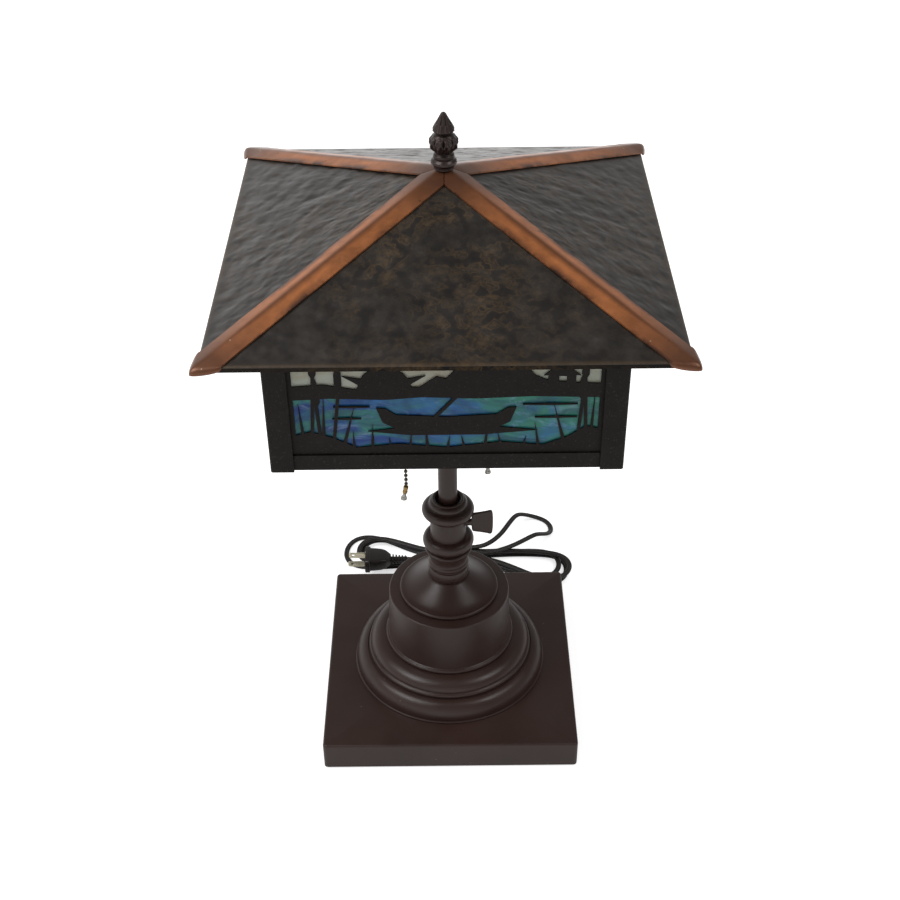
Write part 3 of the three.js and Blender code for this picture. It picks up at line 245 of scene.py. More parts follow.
def round_z(points, quarter):
    """Points turned about Z by a number of quarter turns."""
    c, s = ((1, 0), (0, 1), (-1, 0), (0, -1))[quarter]
    x, y = points[..., 0], points[..., 1]
    return np.stack([c * x - s * y, s * x + c * y, points[..., 2]], -1)


def quarter_slab(upper, lower, quarter):
    """A slab made for the front and turned about Z by a number of quarter turns."""
    return slab(round_z(upper, quarter), round_z(lower, quarter))


def lift(height):
    return Matrix.Translation((0, 0, height))


def lattice_noise(x, y, size, seed, octaves=3):
    """Heights in -1..1: random values on a square lattice, blended with 3t^2 - 2t^3 between its
    corners, plus octaves at half the size and half the height."""
    total, weight, side = np.zeros(np.broadcast(x, y).shape), 0.0, 97
    for k in range(octaves):
        table = np.random.default_rng(seed + k).uniform(-1, 1, (side, side))
        gx, gy = x / size * 2 ** k, y / size * 2 ** k
        ix, iy = np.floor(gx).astype(int), np.floor(gy).astype(int)
        fx, fy = gx - ix, gy - iy
        fx, fy = fx * fx * (3 - 2 * fx), fy * fy * (3 - 2 * fy)
        at = [table[(ix + a) % side, (iy + b) % side] for a, b in ((0, 0), (1, 0), (0, 1), (1, 1))]
        low = at[0] * (1 - fx) + at[1] * fx
        high = at[2] * (1 - fx) + at[3] * fx
        total += (low * (1 - fy) + high * fy) * 0.5 ** k
        weight += 0.5 ** k
    return total / weight


def ease(share):
    """3 t^2 - 2 t^3 of a share held in 0..1."""
    t = np.clip(share, 0, 1)
    return t * t * (3 - 2 * t)


def smooth_line(points, step):
    """Points an even step apart on a cubic Hermite line through the given points, with the slope at
    each one taken from its neighbours: p = h00 a + h10 u + h01 b + h11 v on each run."""
    points = np.array(points, float)
    run = np.linalg.norm(np.diff(points, axis=0), axis=1)
    at = np.concatenate([[0], np.cumsum(np.sqrt(run))])
    slope = np.gradient(points, at, axis=0)
    u = np.linspace(0, at[-1], 16 * len(points))
    i = np.clip(np.searchsorted(at, u, side="right") - 1, 0, len(points) - 2)
    size = at[i + 1] - at[i]
    t = ((u - at[i]) / size)[:, None]
    line = ((2 * t ** 3 - 3 * t ** 2 + 1) * points[i] + (t ** 3 - 2 * t ** 2 + t) * slope[i] * size[:, None]
            + (3 * t ** 2 - 2 * t ** 3) * points[i + 1] + (t ** 3 - t ** 2) * slope[i + 1] * size[:, None])
    way = np.concatenate([[0], np.cumsum(np.linalg.norm(np.diff(line, axis=0), axis=1))])
    even = np.linspace(0, way[-1], int(way[-1] / step) + 1)
    return np.stack([np.interp(even, way, line[:, k]) for k in range(3)], 1)


def piece(name, shells, finish, body, nodes=(), sharp=32.0, bevel=0.0):
    """Joins shells into one mesh in metres, turns each one's faces outwards by the sign of its
    volume, marks edges past the sharp angle, gives the piece its finish and body, and hides the nodes it
    stands for."""
    points, faces, start = [], [], 0
    for spots, four, three in shells:
        tri = np.concatenate([four[:, [0, 1, 2]], four[:, [0, 2, 3]], three])
        a, b, c = (spots[tri[:, k]] for k in range(3))
        if np.einsum("ij,ij->", a, np.cross(b, c)) < 0:
            four, three = four[:, ::-1], three[:, ::-1]
        points.append(spots * MM)
        faces += (four + start).tolist() + (three + start).tolist()
        start += len(spots)
    mesh = bpy.data.meshes.new(name)
    mesh.from_pydata(np.concatenate(points).tolist(), [], faces)
    mesh.polygons.foreach_set("use_smooth", np.ones(len(faces), bool))
    mesh.set_sharp_from_angle(angle=math.radians(sharp))
    mesh.materials.append(finish)
    made = bpy.data.objects.new(name, mesh)
    bpy.context.scene.collection.objects.link(made)
    if bevel:
        trim = made.modifiers.new("edges", "BEVEL")
        trim.width, trim.segments, trim.limit_method = bevel * MM, 2, "ANGLE"
    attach(made, body)
    if nodes:
        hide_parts(*nodes)
    return made


def dress(finish, *nodes):
    """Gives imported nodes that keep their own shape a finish."""
    for node in nodes:
        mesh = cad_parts[node].data
        mesh.materials.clear()
        mesh.materials.append(finish)


def rgba(value, scale=1.0):
    """A socket as it is, or a colour's shares times a scale, with an alpha of 1."""
    if isinstance(value, bpy.types.NodeSocket):
        return value
    return (*[min(1.0, c * scale) for c in value[:3]], 1.0)


def put(tree, socket, value):
    """Links a socket into another one, or sets its value."""
    if isinstance(value, bpy.types.NodeSocket):
        tree.links.new(value, socket)
    elif value is not None:
        socket.default_value = value


def add_node(tree, kind, values, settings):
    """Adds a shader node, with values for its inputs in order and settings for its properties."""
    made = tree.nodes.new("ShaderNode" + kind)
    for key, value in settings.items():
        setattr(made, key, value)
    for socket, value in zip(made.inputs, values):
        put(tree, socket, value)
    return made.outputs


class Finish:
    """A Principled material built by calls, on the object's own coordinates."""

    def __init__(self, name, base, roughness, metallic=0.0, **sockets):
        self.material = bpy.data.materials.new(name)
        self.material.use_nodes = True
        self.tree = self.material.node_tree
        self.surface = self.tree.nodes["Principled BSDF"]
        self.place = self.node("TexCoord", out=3)
        self.feed(Base_Color=rgba(base), Roughness=roughness, Metallic=metallic, **sockets)

    def node(self, kind, *values, out=0, **settings):
        """Adds a node; values go to its inputs in order and settings are its properties."""
        return add_node(self.tree, kind, values, settings)[out]

    def put(self, socket, value):
        put(self.tree, socket, value)

    def feed(self, **sockets):
        """Sets or links the shader's own sockets, named with _ for a space."""
        for key, value in sockets.items():
            self.put(self.surface.inputs[key.replace("_", " ")], value)

    def noise(self, scale, detail=3.0, rough=0.5, warp=0.0, place=None):
        return self.node("TexNoise", place or self.place, None, scale, detail, rough,
                         None, None, None, warp)

    def cells(self, scale, place=None):
        return self.node("TexVoronoi", place or self.place, None, scale)

    def mapped(self, scale, turn=(0.0, 0.0, 0.0)):
        """The object's coordinates, turned and then scaled."""
        return self.node("Mapping", self.place, None, turn, scale)

    def math(self, operation, *values):
        return self.node("Math", *values, operation=operation)

    def axis(self, number):
        """One of the object's coordinates: 0 is X, 1 is Y and 2 is Z."""
        return self.node("SeparateXYZ", self.place, out=number)

    def times(self, first, second):
        return self.math("MULTIPLY", first, second)

    def most(self, first, second):
        return self.math("MAXIMUM", first, second)

    def apart(self, first, second):
        """How far two values are from each other."""
        return self.math("ABSOLUTE", self.math("SUBTRACT", first, second))

    def mottle(self, scale, detail, low, high):
        """Even noise between two values."""
        return self.spread(self.noise(scale, detail), 0.3, 0.7, low, high)

    def shaded(self, share, tone, low, high):
        """A tone between two strengths of itself."""
        return self.blend(share, rgba(tone, low), rgba(tone, high))

    def spread(self, value, low, high, to_low=0.0, to_high=1.0):
        """Maps a value's range onto another, clamped."""
        return self.node("MapRange", value, low, high, to_low, to_high)

    def blend(self, share, first, second):
        """Mixes two colours by a share."""
        made = self.tree.nodes.new("ShaderNodeMix")
        made.data_type = "RGBA"
        for index, value in ((0, share), (6, rgba(first)), (7, rgba(second))):
            self.put(made.inputs[index], value)
        return made.outputs[2]

    def relief(self, height, distance, strength):
        """A bump from a height, its distance in millimetres."""
        made = self.tree.nodes.new("ShaderNodeBump")
        for key, value in (("Height", height), ("Distance", distance * MM), ("Strength", strength)):
            self.put(made.inputs[key], value)
        return made.outputs[0]


def satin_paint(tone):
    """Sprayed paint: a faint cloudy tone, fine orange peel, and a few pale specks of dust."""
    f = Finish("satin_paint", tone, 0.35, Specular_IOR_Level=0.42)
    cloud = f.shaded(f.spread(f.noise(16, 3), 0.35, 0.65), tone, 0.9, 1.1)
    speck = f.math("LESS_THAN", f.cells(60), 0.035)
    f.feed(Base_Color=f.blend(f.times(speck, 0.3), cloud, linear("8d8079")),
           Roughness=f.mottle(60, 4, 0.31, 0.4),
           Normal=f.relief(f.noise(1100, 2), 0.02, 0.4))
    return f.material


def hammered_bronze(dark, gold, eave):
    """Dark patinated sheet: blurred gold-brown veins round dark blotches, gathered in clouds
    about the middle of each panel, a few scratches, a painted gold highlight along the bend of the
    eave and painted shade on the lip below it."""
    f = Finish("hammered_bronze", dark, 0.36, 0.3, Coat_Weight=0.14, Coat_Roughness=0.22)
    low = f.spread(f.axis(2), eave, eave + 0.018, 0.6, 0.0)
    across = f.math("MINIMUM", *[f.math("ABSOLUTE", f.axis(axis)) for axis in (0, 1)])
    middle = f.spread(across, 0.03, 0.105, 1.0, 0.2)
    cloud = f.times(f.most(f.spread(f.noise(11, 4, 0.6, 1.0), 0.4, 0.64), low), middle)
    fleck = f.spread(f.noise(150, 3, 0.6), 0.36, 0.6, 0.15, 1.0)
    wander = f.apart(f.noise(120, 1.0, 0.5), 0.5)
    vein = f.times(f.spread(wander, 0.0, 0.06, 0.52, 0.0), fleck)
    haze = f.spread(f.noise(120, 5, 0.66), 0.48, 0.68, 0.0, 0.5)
    worn = f.times(f.most(vein, haze), cloud)
    # Painted highlight: a gold line along the bend just above the eave, mottled by the flecks and clouds.
    height = f.apart(f.axis(2), eave + 0.0004)
    eave_highlight = f.times(f.spread(height, 0.0003, 0.0010, 0.8, 0.0), f.most(f.times(fleck, cloud), 0.3))
    ground = f.shaded(f.spread(f.noise(60, 5, 0.62), 0.3, 0.7), dark, 0.7, 1.32)
    # Painted shade: the lip below the eave turns to a fifth of the dark tone and fully metallic, so it
    # reflects nothing pale.
    lip = f.spread(f.axis(2), eave - 0.0006, eave, 0.85, 0.0)
    ground = f.blend(lip, ground, rgba(dark, 0.2))
    scratch = f.math("LESS_THAN", f.cells(26, f.mapped((0.2, 1.0, 1.0), (0.0, 0.0, 0.7))), 0.012)
    veins_and_eave_highlight = f.blend(f.most(worn, eave_highlight), ground, gold)
    f.feed(Base_Color=f.blend(f.times(scratch, 0.5), veins_and_eave_highlight, linear("a58a62")),
           Roughness=f.mottle(60, 4, 0.3, 0.42),
           Metallic=f.spread(lip, 0.0, 0.85, 0.3, 1.0),
           Normal=f.relief(f.noise(330, 3), 0.05, 0.4))
    return f.material


def ridge_copper(copper, patina):
    """Worn copper under old lacquer: streaky tone, painted shade along the crest, a little patina at the apex
    and more at the noses."""
    f = Finish("ridge_copper", copper, 0.4, 0.6, Coat_Weight=0.4, Coat_Roughness=0.36)
    out = f.node("VectorMath", f.mapped((1.0, 1.0, 0.0)), operation="LENGTH", out=1)
    apex = f.spread(out, 0.018, 0.075, 0.9, 0.0)
    nose = f.spread(out, 0.15, 0.218, 0.0, 0.85)
    across = f.node("Attribute", attribute_name="across", out=2)
    # Painted shade: darker along the crest, where the strip faces the dark ceiling.
    crest_shade = f.spread(across, 0.05, 0.42, 0.72, 0.0)
    # Darker in patches toward both edges of the strip.
    edge_mottle = f.spread(f.noise(34, 4, 0.6, 0.5), 0.34, 0.62)
    edge = f.times(f.spread(across, 0.5, 0.95), edge_mottle)
    cloud = f.spread(f.noise(22, 5, 0.62, 0.6), 0.44, 0.72, 0.0, 0.55)
    # dark and worn carry the painted crest shade along with the patina.
    dark = f.most(f.most(cloud, crest_shade), f.most(apex, nose))
    grain = f.shaded(f.spread(f.noise(150, 4, 0.6), 0.3, 0.7), copper, 0.85, 1.12)
    spot = f.math("LESS_THAN", f.cells(62), 0.06)
    worn = f.blend(f.most(dark, edge), grain, patina)
    chip = f.times(f.math("LESS_THAN", f.cells(90, f.mapped((1.0, 1.0, 1.0), (0.4, 0.0, 0.0))), 0.06), nose)
    spotted = f.blend(f.times(spot, 0.45), worn, rgba(patina, 0.55))
    f.feed(Base_Color=f.blend(chip, spotted, linear("b59a88")),
           Roughness=f.mottle(70, 4, 0.33, 0.5),
           Normal=f.relief(f.noise(240, 3), 0.07, 0.45))
    return f.material


def etched_bronze(dark):
    """Near-black etched sheet: fine pits, scored strokes and a thin brown bloom."""
    f = Finish("etched_bronze", dark, 0.5, 0.15, Specular_IOR_Level=0.18)
    bloom = f.spread(f.noise(60, 5, 0.65), 0.4, 0.75)
    pit = f.noise(520, 4, 0.7)
    stroke = f.node("TexWave", f.mapped((420.0, 420.0, 60.0)), 1.0, 9.0, 3.0)
    relief = f.math("ADD", pit, f.times(stroke, 0.25))
    bloomed = f.blend(f.times(bloom, 0.5), rgba(dark, 0.85), linear("28221e"))
    f.feed(Base_Color=f.blend(f.spread(pit, 0.56, 0.68, 0.0, 0.6), bloomed, linear("443e38")),
           Roughness=f.spread(pit, 0.3, 0.7, 0.42, 0.68),
           Normal=f.relief(relief, 0.14, 0.6))
    return f.material


def sky_glass(tone):
    """Creamy opalescent glass: long level wisps of white, cream and pale green."""
    f = Finish("sky_glass", tone, 0.16, Specular_IOR_Level=0.3, Transmission_Weight=0.12, IOR=1.5)
    level = f.mapped((9.0, 9.0, 34.0))
    wisp = f.spread(f.noise(1.6, 5, 0.6, 1.4, level), 0.35, 0.68)
    green = f.spread(f.noise(0.8, 3, 0.5, 0.8, level), 0.45, 0.7)
    cream = f.blend(wisp, linear("b5ae99"), rgba(tone, 1.05))
    f.feed(Base_Color=f.blend(f.times(green, 0.5), cream, linear("9db3a4")),
           Normal=f.relief(f.noise(24, 3), 0.5, 0.25))
    return f.material


def water_glass(deep, middle, shoal):
    """Swirled glass: deep blue at the left, through middle blue, to green at the right, with murky
    patches, and pale wisps where the batches of colour ran together."""
    f = Finish("water_glass", middle, 0.14, Specular_IOR_Level=0.3, Transmission_Weight=0.12, IOR=1.5)
    across = f.axis(0)
    level = f.mapped((10.0, 10.0, 26.0))
    swirl = f.noise(1.5, 5, 0.58, 1.8, level)
    drift = f.math("ADD", f.spread(across, -0.12, 0.12, -0.3, 0.42), swirl)
    blue = f.blend(f.spread(drift, 0.25, 0.55), deep, middle)
    tone = f.blend(f.spread(drift, 0.55, 0.8), blue, shoal)
    tone = f.blend(f.spread(f.noise(1.9, 3, 0.5, 1.0, level), 0.47, 0.6, 0.0, 0.8), tone, shoal)
    murk = f.spread(f.noise(2.2, 4, 0.6, 1.4, level), 0.36, 0.58, 0.55, 0.0)
    wisp = f.spread(f.noise(2.6, 6, 0.66, 2.2, level), 0.54, 0.76)
    pale = f.blend(f.spread(f.noise(1.1, 3, place=level), 0.4, 0.6), linear("86b4dc"), linear("a3b6cf"))
    swirled = f.blend(f.times(wisp, 0.75), tone, pale)
    f.feed(Base_Color=f.blend(murk, swirled, rgba(linear("14305e"))),
           Normal=f.relief(f.noise(24, 3), 0.5, 0.25))
    return f.material


def cast_metal(name, tone, roughness, metallic, grain, depth):
    """Plain metal: a mottled tone and a fine grain in roughness and relief."""
    f = Finish(name, tone, roughness, metallic)
    spot = f.noise(grain, 4, 0.6)
    f.feed(Base_Color=f.shaded(f.spread(f.noise(grain / 6, 4), 0.35, 0.65), tone, 0.78, 1.15),
           Roughness=f.spread(spot, 0.3, 0.7, roughness - 0.07, roughness + 0.08),
           Normal=f.relief(spot, depth, 0.5))
    return f.material


def moulded_plastic(name, tone, roughness):
    """Moulded or extruded plastic: a faint mottle and fine matt grain."""
    f = Finish(name, tone, roughness)
    f.feed(Base_Color=f.shaded(f.noise(220, 3), tone, 0.8, 1.3),
           Roughness=f.mottle(400, 3, roughness - 0.06, roughness + 0.08),
           Normal=f.relief(f.noise(1500, 2), 0.015, 0.4))
    return f.material


def felt_cloth():
    """Pressed felt: a short fibrous pile."""
    f = Finish("felt", linear("2a2724"), 0.95, Sheen_Weight=0.3)
    pile = f.noise(900, 5, 0.75)
    f.feed(Base_Color=f.blend(pile, linear("1d1b19"), linear("3a3632")), Normal=f.relief(pile, 0.3, 0.8))
    return f.material


def frosted_glass():
    """Frosted bulb glass, milky with a faint mottle."""
    f = Finish("frosted_glass", linear("f0ede4"), 0.3, Transmission_Weight=0.1)
    f.feed(Base_Color=f.blend(f.noise(50, 3), linear("e8e4da"), linear("f7f5ef")))
    return f.material


def paint(colours):
    """The satin brown finish, made once."""
    return bpy.data.materials.get("satin_paint") or satin_paint(colours.paint)


class LampOperator:
    """What the lamp's operators share: their options and the two property groups."""
    bl_options = {"REGISTER", "UNDO"}

    def execute(self, context):
        self.build(context.scene.lamp_sizes, context.scene.lamp_colours)
        return {"FINISHED"}


class LAMP_OT_stage(LampOperator, bpy.types.Operator):
    """Adds the floor, the studio light, the white surroundings and the camera"""
    bl_idname = "lamp.stage"
    bl_label = "Studio"

    def build(self, sizes, colours):
        scene = bpy.context.scene
        scene.view_settings.view_transform = "Standard"
        self.camera(scene)
        self.floor()
        self.surroundings(scene)
        for name, place, turn, side, power in LIGHTS:
            lamp = bpy.data.lights.new(name, "AREA")
            lamp.size, lamp.energy = side, power
            made = bpy.data.objects.new(name, lamp)
            made.location, made.rotation_euler = place, [math.radians(a) for a in turn]
            scene.collection.objects.link(made)

    def camera(self, scene):
        """The axes come from the yaw about Z, the pitch down from level and the roll about the view."""
        yaw, pitch, roll = CAMERA_YAW, CAMERA_PITCH, CAMERA_ROLL
        right = np.array([math.cos(yaw), math.sin(yaw), 0.0])
        level = math.cos(pitch)
        ahead = np.array([-math.sin(yaw) * level, math.cos(yaw) * level, -math.sin(pitch)])
        up = np.cross(right, ahead)
        turned_right = math.cos(roll) * right + math.sin(roll) * up
        turned_up = math.cos(roll) * up - math.sin(roll) * right
        data = bpy.data.cameras.new("camera")
        data.sensor_width, data.lens = CAMERA_SENSOR, CAMERA_SENSOR * CAMERA_FOCAL
        data.clip_start, data.clip_end = CAMERA_CLIP
        made = bpy.data.objects.new("camera", data)
        made.matrix_world = Matrix.Translation(CAMERA_PLACE) @ Matrix(
            np.stack([turned_right, turned_up, -ahead], 1).tolist()).to_4x4()
        scene.collection.objects.link(made)
        scene.camera = made

    def floor(self):
        """A flat grid z = 0. Seen straight on it is lifted to white, and it keeps the shadow."""
        at = np.linspace(-FLOOR_HALF, FLOOR_HALF, 9)
        x, y = np.meshgrid(at, at)
        mesh = bpy.data.meshes.new("floor")
        mesh.from_pydata(grid(x, y, 0.0).reshape(-1, 3).tolist(), [], quads(9, 9)[:, ::-1].tolist())
        f = Finish("floor", (0.86, 0.86, 0.86), 0.9)
        camera, glossy, through = (f.node("LightPath", out=name) for name in (
            "Is Camera Ray", "Is Glossy Ray", "Is Transmission Ray"))
        out = f.node("VectorMath", f.place, operation="LENGTH", out=1)
        mirrored = f.times(f.most(glossy, through), f.spread(out, *FLOOR_FADE, *FLOOR_MIRRORED))
        f.feed(Emission_Color=(1.0, 1.0, 1.0, 1.0),
               Emission_Strength=f.most(f.times(camera, FLOOR_LIFT), mirrored))
        mesh.materials.append(f.material)
        made = bpy.data.objects.new("floor", mesh)
        bpy.context.scene.collection.objects.link(made)

    def surroundings(self, scene):
        """White walls with a darker ceiling and a darker right side. A camera or transmission ray sees
        white. A glossy ray sees white up to CEILING_FADE's first angle above level and the ceiling from
        the second, and other rays see a softer even light."""
        world = bpy.data.worlds.new("studio")
        world.use_nodes = True
        scene.world = world
        tree = world.node_tree

        def node(kind, *values, **settings):
            return add_node(tree, kind, values, settings)

        path = node("LightPath")
        aim = node("SeparateXYZ", node("TexCoord")["Generated"])
        fade = [math.sin(math.radians(angle)) for angle in CEILING_FADE]
        wall = node("MapRange", aim["Z"], *fade, 1.0, CEILING_LIGHT)
        shade = node("MapRange", aim["X"], *RIGHT_FADE, 1.0, RIGHT_WALL)
        mirrored = node("Math", wall["Result"], shade["Result"], operation="MULTIPLY")
        level = node("MapRange", path["Is Glossy Ray"], 0.0, 1.0, WORLD_LIGHT, mirrored["Value"])
        seen = node("Math", path["Is Camera Ray"], path["Is Transmission Ray"], operation="MAXIMUM")
        level = node("MapRange", seen["Value"], 0.0, 1.0, level["Result"], 1.0)
        back = tree.nodes["Background"]
        back.inputs["Color"].default_value = (1.0, 1.0, 1.0, 1.0)
        tree.links.new(level["Result"], back.inputs["Strength"])


class LAMP_OT_foot(LampOperator, bpy.types.Operator):
    """Builds the pressed square foot, and finishes the felt, the weight, the cord bushing and the plain steel
    parts
    """
    bl_idname = "lamp.foot"
    bl_label = "Foot"

    def build(self, sizes, colours):
        half, top = sizes.foot_side / MM / 2, sizes.foot_top / MM
        rim = mm("foot_plate", 2, 0)
        edge, corner, wall, bore = 2.0, 3.4, 2.5, 14.0
        outside = arc((half - edge, top - edge), (edge, edge), 0, 90, 8)
        levels = [(half, rim), *outside, (half * 0.5, top), (bore, top), (bore, top - wall),
                  (half - wall, top - wall), (half - wall, rim)]
        rings = square_rings(levels, half, corner, least=0.6)
        piece("foot_shell", [skin(rings, closed=True)], paint(colours), "base",
              ["foot_plate"], sharp=40)
        dress(felt_cloth(), "felt_pad")
        dress(cast_metal("cast_iron", linear("4a4744"), 0.7, 0.5, 300, 0.3), "foot_weight")
        dress(cast_metal("zinc_steel", linear("9a9791"), 0.36, 0.9, 300, 0.03),
              "guide_tube", "guide_nut", "guide_washer", "riser_rod", "rest_nut", "rest_washer", "apex_plate")
        dress(moulded_plastic("black_plastic", colours.cord, 0.42), "cord_bushing")


class LAMP_OT_cord(LampOperator, bpy.types.Operator):
    """Lays the flat twin cord from the bushing through its hank to the moulded plug"""
    bl_idname = "lamp.cord"
    bl_label = "Cord and plug"

    def build(self, sizes, colours):
        vinyl = moulded_plastic("cord_vinyl", colours.cord, 0.4)
        line = self.line()
        shell = self.swept(line, sizes.cord_width / MM, sizes.cord_thickness / MM)
        cord = piece("cord", [shell], vinyl, "base", ["cord_lead", "cord_hank", "cord_tail"],
                     sharp=70)
        body = piece("plug", [self.plug()], moulded_plastic("plug_plastic", colours.cord, 0.34), "base",
                     ["plug_body"], sharp=35)
        brass = cast_metal("pale_brass", colours.blade, 0.28, 0.95, 260, 0.02)
        blades = [piece(f"blade_{name}", [self.blade(f"plug_blade_{name}")], brass, "base",
                        [f"plug_blade_{name}"], sharp=30) for name in ("back", "front")]

    def line(self):
        """The lead, the hank and the tail. For a from -90 to 90 degrees, a lobe is reach cos a out and
        (waist + (half - waist) cos^2 a) sin a across, both turned by a swing that eases in away from
        the waist. A strand steps from layer to layer near the waist, and the last lobe comes down to
        the floor."""
        hank, points, step_room, floor_from = [], 48, 30, 0.72
        for lobe, (side, reach, swing, half) in enumerate(HANK_LOBES):
            layer, last = math.ceil(lobe / 2), lobe == len(HANK_LOBES) - 1
            turn = side * (np.arange(1, points + 1) / points - 0.5) * np.pi
            c, s = np.cos(turn), np.sin(turn)
            away, across = reach * c, s * (WAIST_HALF + (half - WAIST_HALF) * c * c)
            angle = math.radians(swing) * ease(c / 0.8)
            near = np.maximum(0, 1 - away / step_room)
            level = layer + (near * (s > 0) if side > 0 else near - 1)
            if last:
                level = level - layer * ease((c - floor_from) / 0.28)
            hank.append(grid(
                WAIST[0] + side * (away * np.cos(angle) - across * np.sin(angle)),
                WAIST[1] + away * np.sin(angle) + across * np.cos(angle),
                CORD_FLOOR + CORD_PITCH * level))
        return smooth_line(np.concatenate([LEAD, np.concatenate(hank)[2:-2], TAIL]), 2.0)

    def swept(self, line, width, thick):
        """Two round cores a width less a thickness apart with a web between, carried level along a line."""
        r, c = thick / 2, (width - thick) / 2
        a = np.radians(np.linspace(-125, 125, 13))
        lobe = np.stack([c + r * np.cos(a), r * np.sin(a)], 1)
        outline = np.concatenate([lobe, -lobe])
        along = np.gradient(line, axis=0)
        along /= np.linalg.norm(along, axis=1, keepdims=True)
        side = grid(along[:, 1], -along[:, 0], 0.0)
        side /= np.linalg.norm(side, axis=1, keepdims=True)
        up = np.cross(side, along)
        return skin(line[:, None] + outline[None, :, :1] * side[:, None] + outline[None, :, 1:] * up[:, None])

    def plug(self):
        """Rounded sections along -X: a strain relief of slotted ribs, the grip and its end flange."""
        low, high = span("plug_body")
        end, y, z = high[0], (low[1] + high[1]) / 2, (low[2] + high[2]) / 2
        sections = [(0, 3.1, 2.0)]
        for i in range(5):
            at, grow = 0.9 + 3.1 * i, 0.22 * i
            sections += [(at, 3.0, 1.9), (at + 0.15, 3.9 + grow, 2.9 + grow),
                         (at + 1.55, 4.0 + grow, 3.0 + grow), (at + 1.7, 3.0, 1.9)]
        sections += [(16.2, 3.2, 2.2), (16.6, 5.4, 3.9), (17.6, 5.9, 4.3), (19.5, 7.4, 5.0), (22, 9.2, 5.9),
                     (26, 10.2, 6.6), (32, 10.8, 6.9), (36.6, 11, 7), (37.0, 11.2, 7.05), (37.2, 12.2, 7.5),
                     (37.6, 12.6, 7.8), (41.2, 12.6, 7.8), (41.8, 12.3, 7.6), (42, 11.6, 7.0)]
        rings = []
        for along, half_y, half_z in sections:
            spots = rounded_rectangle(half_y, half_z, min(2.6, half_z - 0.2))
            rings.append(grid(end - along, y + spots[:, 0], z + spots[:, 1]))
        return skin(np.stack(rings))

    def blade(self, node):
        """A plate round its hole: the outline is r = min(x / |cos a|, z / |sin a|) from the hole's
        middle, cut off slantwise at the tip."""
        low, high = span(node)
        hole, radius, edge, tip, least = low[0] + 4.0, 1.6, 0.25, 5.9, 1e-6
        middle = (low[2] + high[2]) / 2
        half = (high[2] - low[2]) / 2
        c, s = np.cos(around(96)), np.sin(around(96))
        reach = np.where(c > 0, high[0] - hole, hole - low[0]) / np.maximum(np.abs(c), least)
        out = np.minimum(reach, half / np.maximum(np.abs(s), least))
        out = np.minimum(out, np.where(c < 0, tip / np.maximum(np.abs(c) + np.abs(s), least), out))
        levels = ((out - edge, low[1]), (out, low[1] + edge), (out, high[1] - edge), (out - edge, high[1]),
                  (radius, high[1]), (radius, low[1]))
        rings = [grid(hole + r * c, y, middle + r * s) for r, y in levels]
        return skin(np.stack(rings), closed=True)


class LAMP_OT_chains(LampOperator, bpy.types.Operator):
    """Strings the two bead chains with their clasps and bell tips"""
    bl_idname = "lamp.chains"
    bl_label = "Pull chains"

    def build(self, sizes, colours):
        brass = cast_metal("chain_brass", linear("5c5242"), 0.32, 0.9, 300, 0.02)
        clasp = cast_metal("clasp_brass", linear("a08456"), 0.32, 0.85, 300, 0.02)
        nickel = cast_metal("bell_nickel", linear("98958f"), 0.28, 0.9, 300, 0.02)
        pitch, bead, tip, lean_left = 4.3, 1.6, 14, 10
        for name, side in SIDES:
            node, body = f"pull_chain_{name}", f"pull_{name}"
            low, high = span(node)
            place = Matrix.Translation((*((low + high) / 2)[:2], 0))
            count, lean = round((high[2] - low[2] - tip) / pitch), math.radians(lean_left if side < 0 else 0)
            bottom = high[2] - pitch * count
            beads = [arc((0, high[2] - pitch * (i + 0.5)), (bead, bead), -84, 84, 8) for i in range(count)]
            beads = [moved(turned(ball, steps=14, hollow=False), place) for ball in beads]
            link = moved(turned((0.5, bottom - 0.5), (0.5, high[2]), steps=8, hollow=False), place)
            piece(f"chain_beads_{name}", [*beads, link], brass, body, [node], sharp=60)
            barrel = turned(off(0, bottom, (0.9, -0.3), (2.0, -0.7), (2.1, -1.4), (2.1, -3.0), (1.8, -3.4),
                                (1.8, -4.8), (2.1, -5.2), (2.1, -7.0), (1.7, -7.7), (0.7, -8.0)),
                            steps=24, hollow=False)
            flare = bezier(*off(0, bottom, (1.4, -9.4), (1.5, -11.4), (2.4, -11.4), (2.6, -13.2)), 8)
            bell = turned(off(0, bottom, (0.6, -8.1), (1.3, -8.3), (1.5, -9.2)), flare,
                          off(0, bottom, (2.6, -14.0), (1.9, -14.0), (1.5, -12.4), (0.3, -11.6)),
                          steps=24, hollow=False)
            hung = place @ lift(bottom) @ Matrix.Rotation(lean, 4, "Y") @ lift(-bottom)
            piece(f"chain_clasp_{name}", [moved(barrel, hung)], clasp, body)
            piece(f"chain_bell_{name}", [moved(bell, hung)], nickel, body)


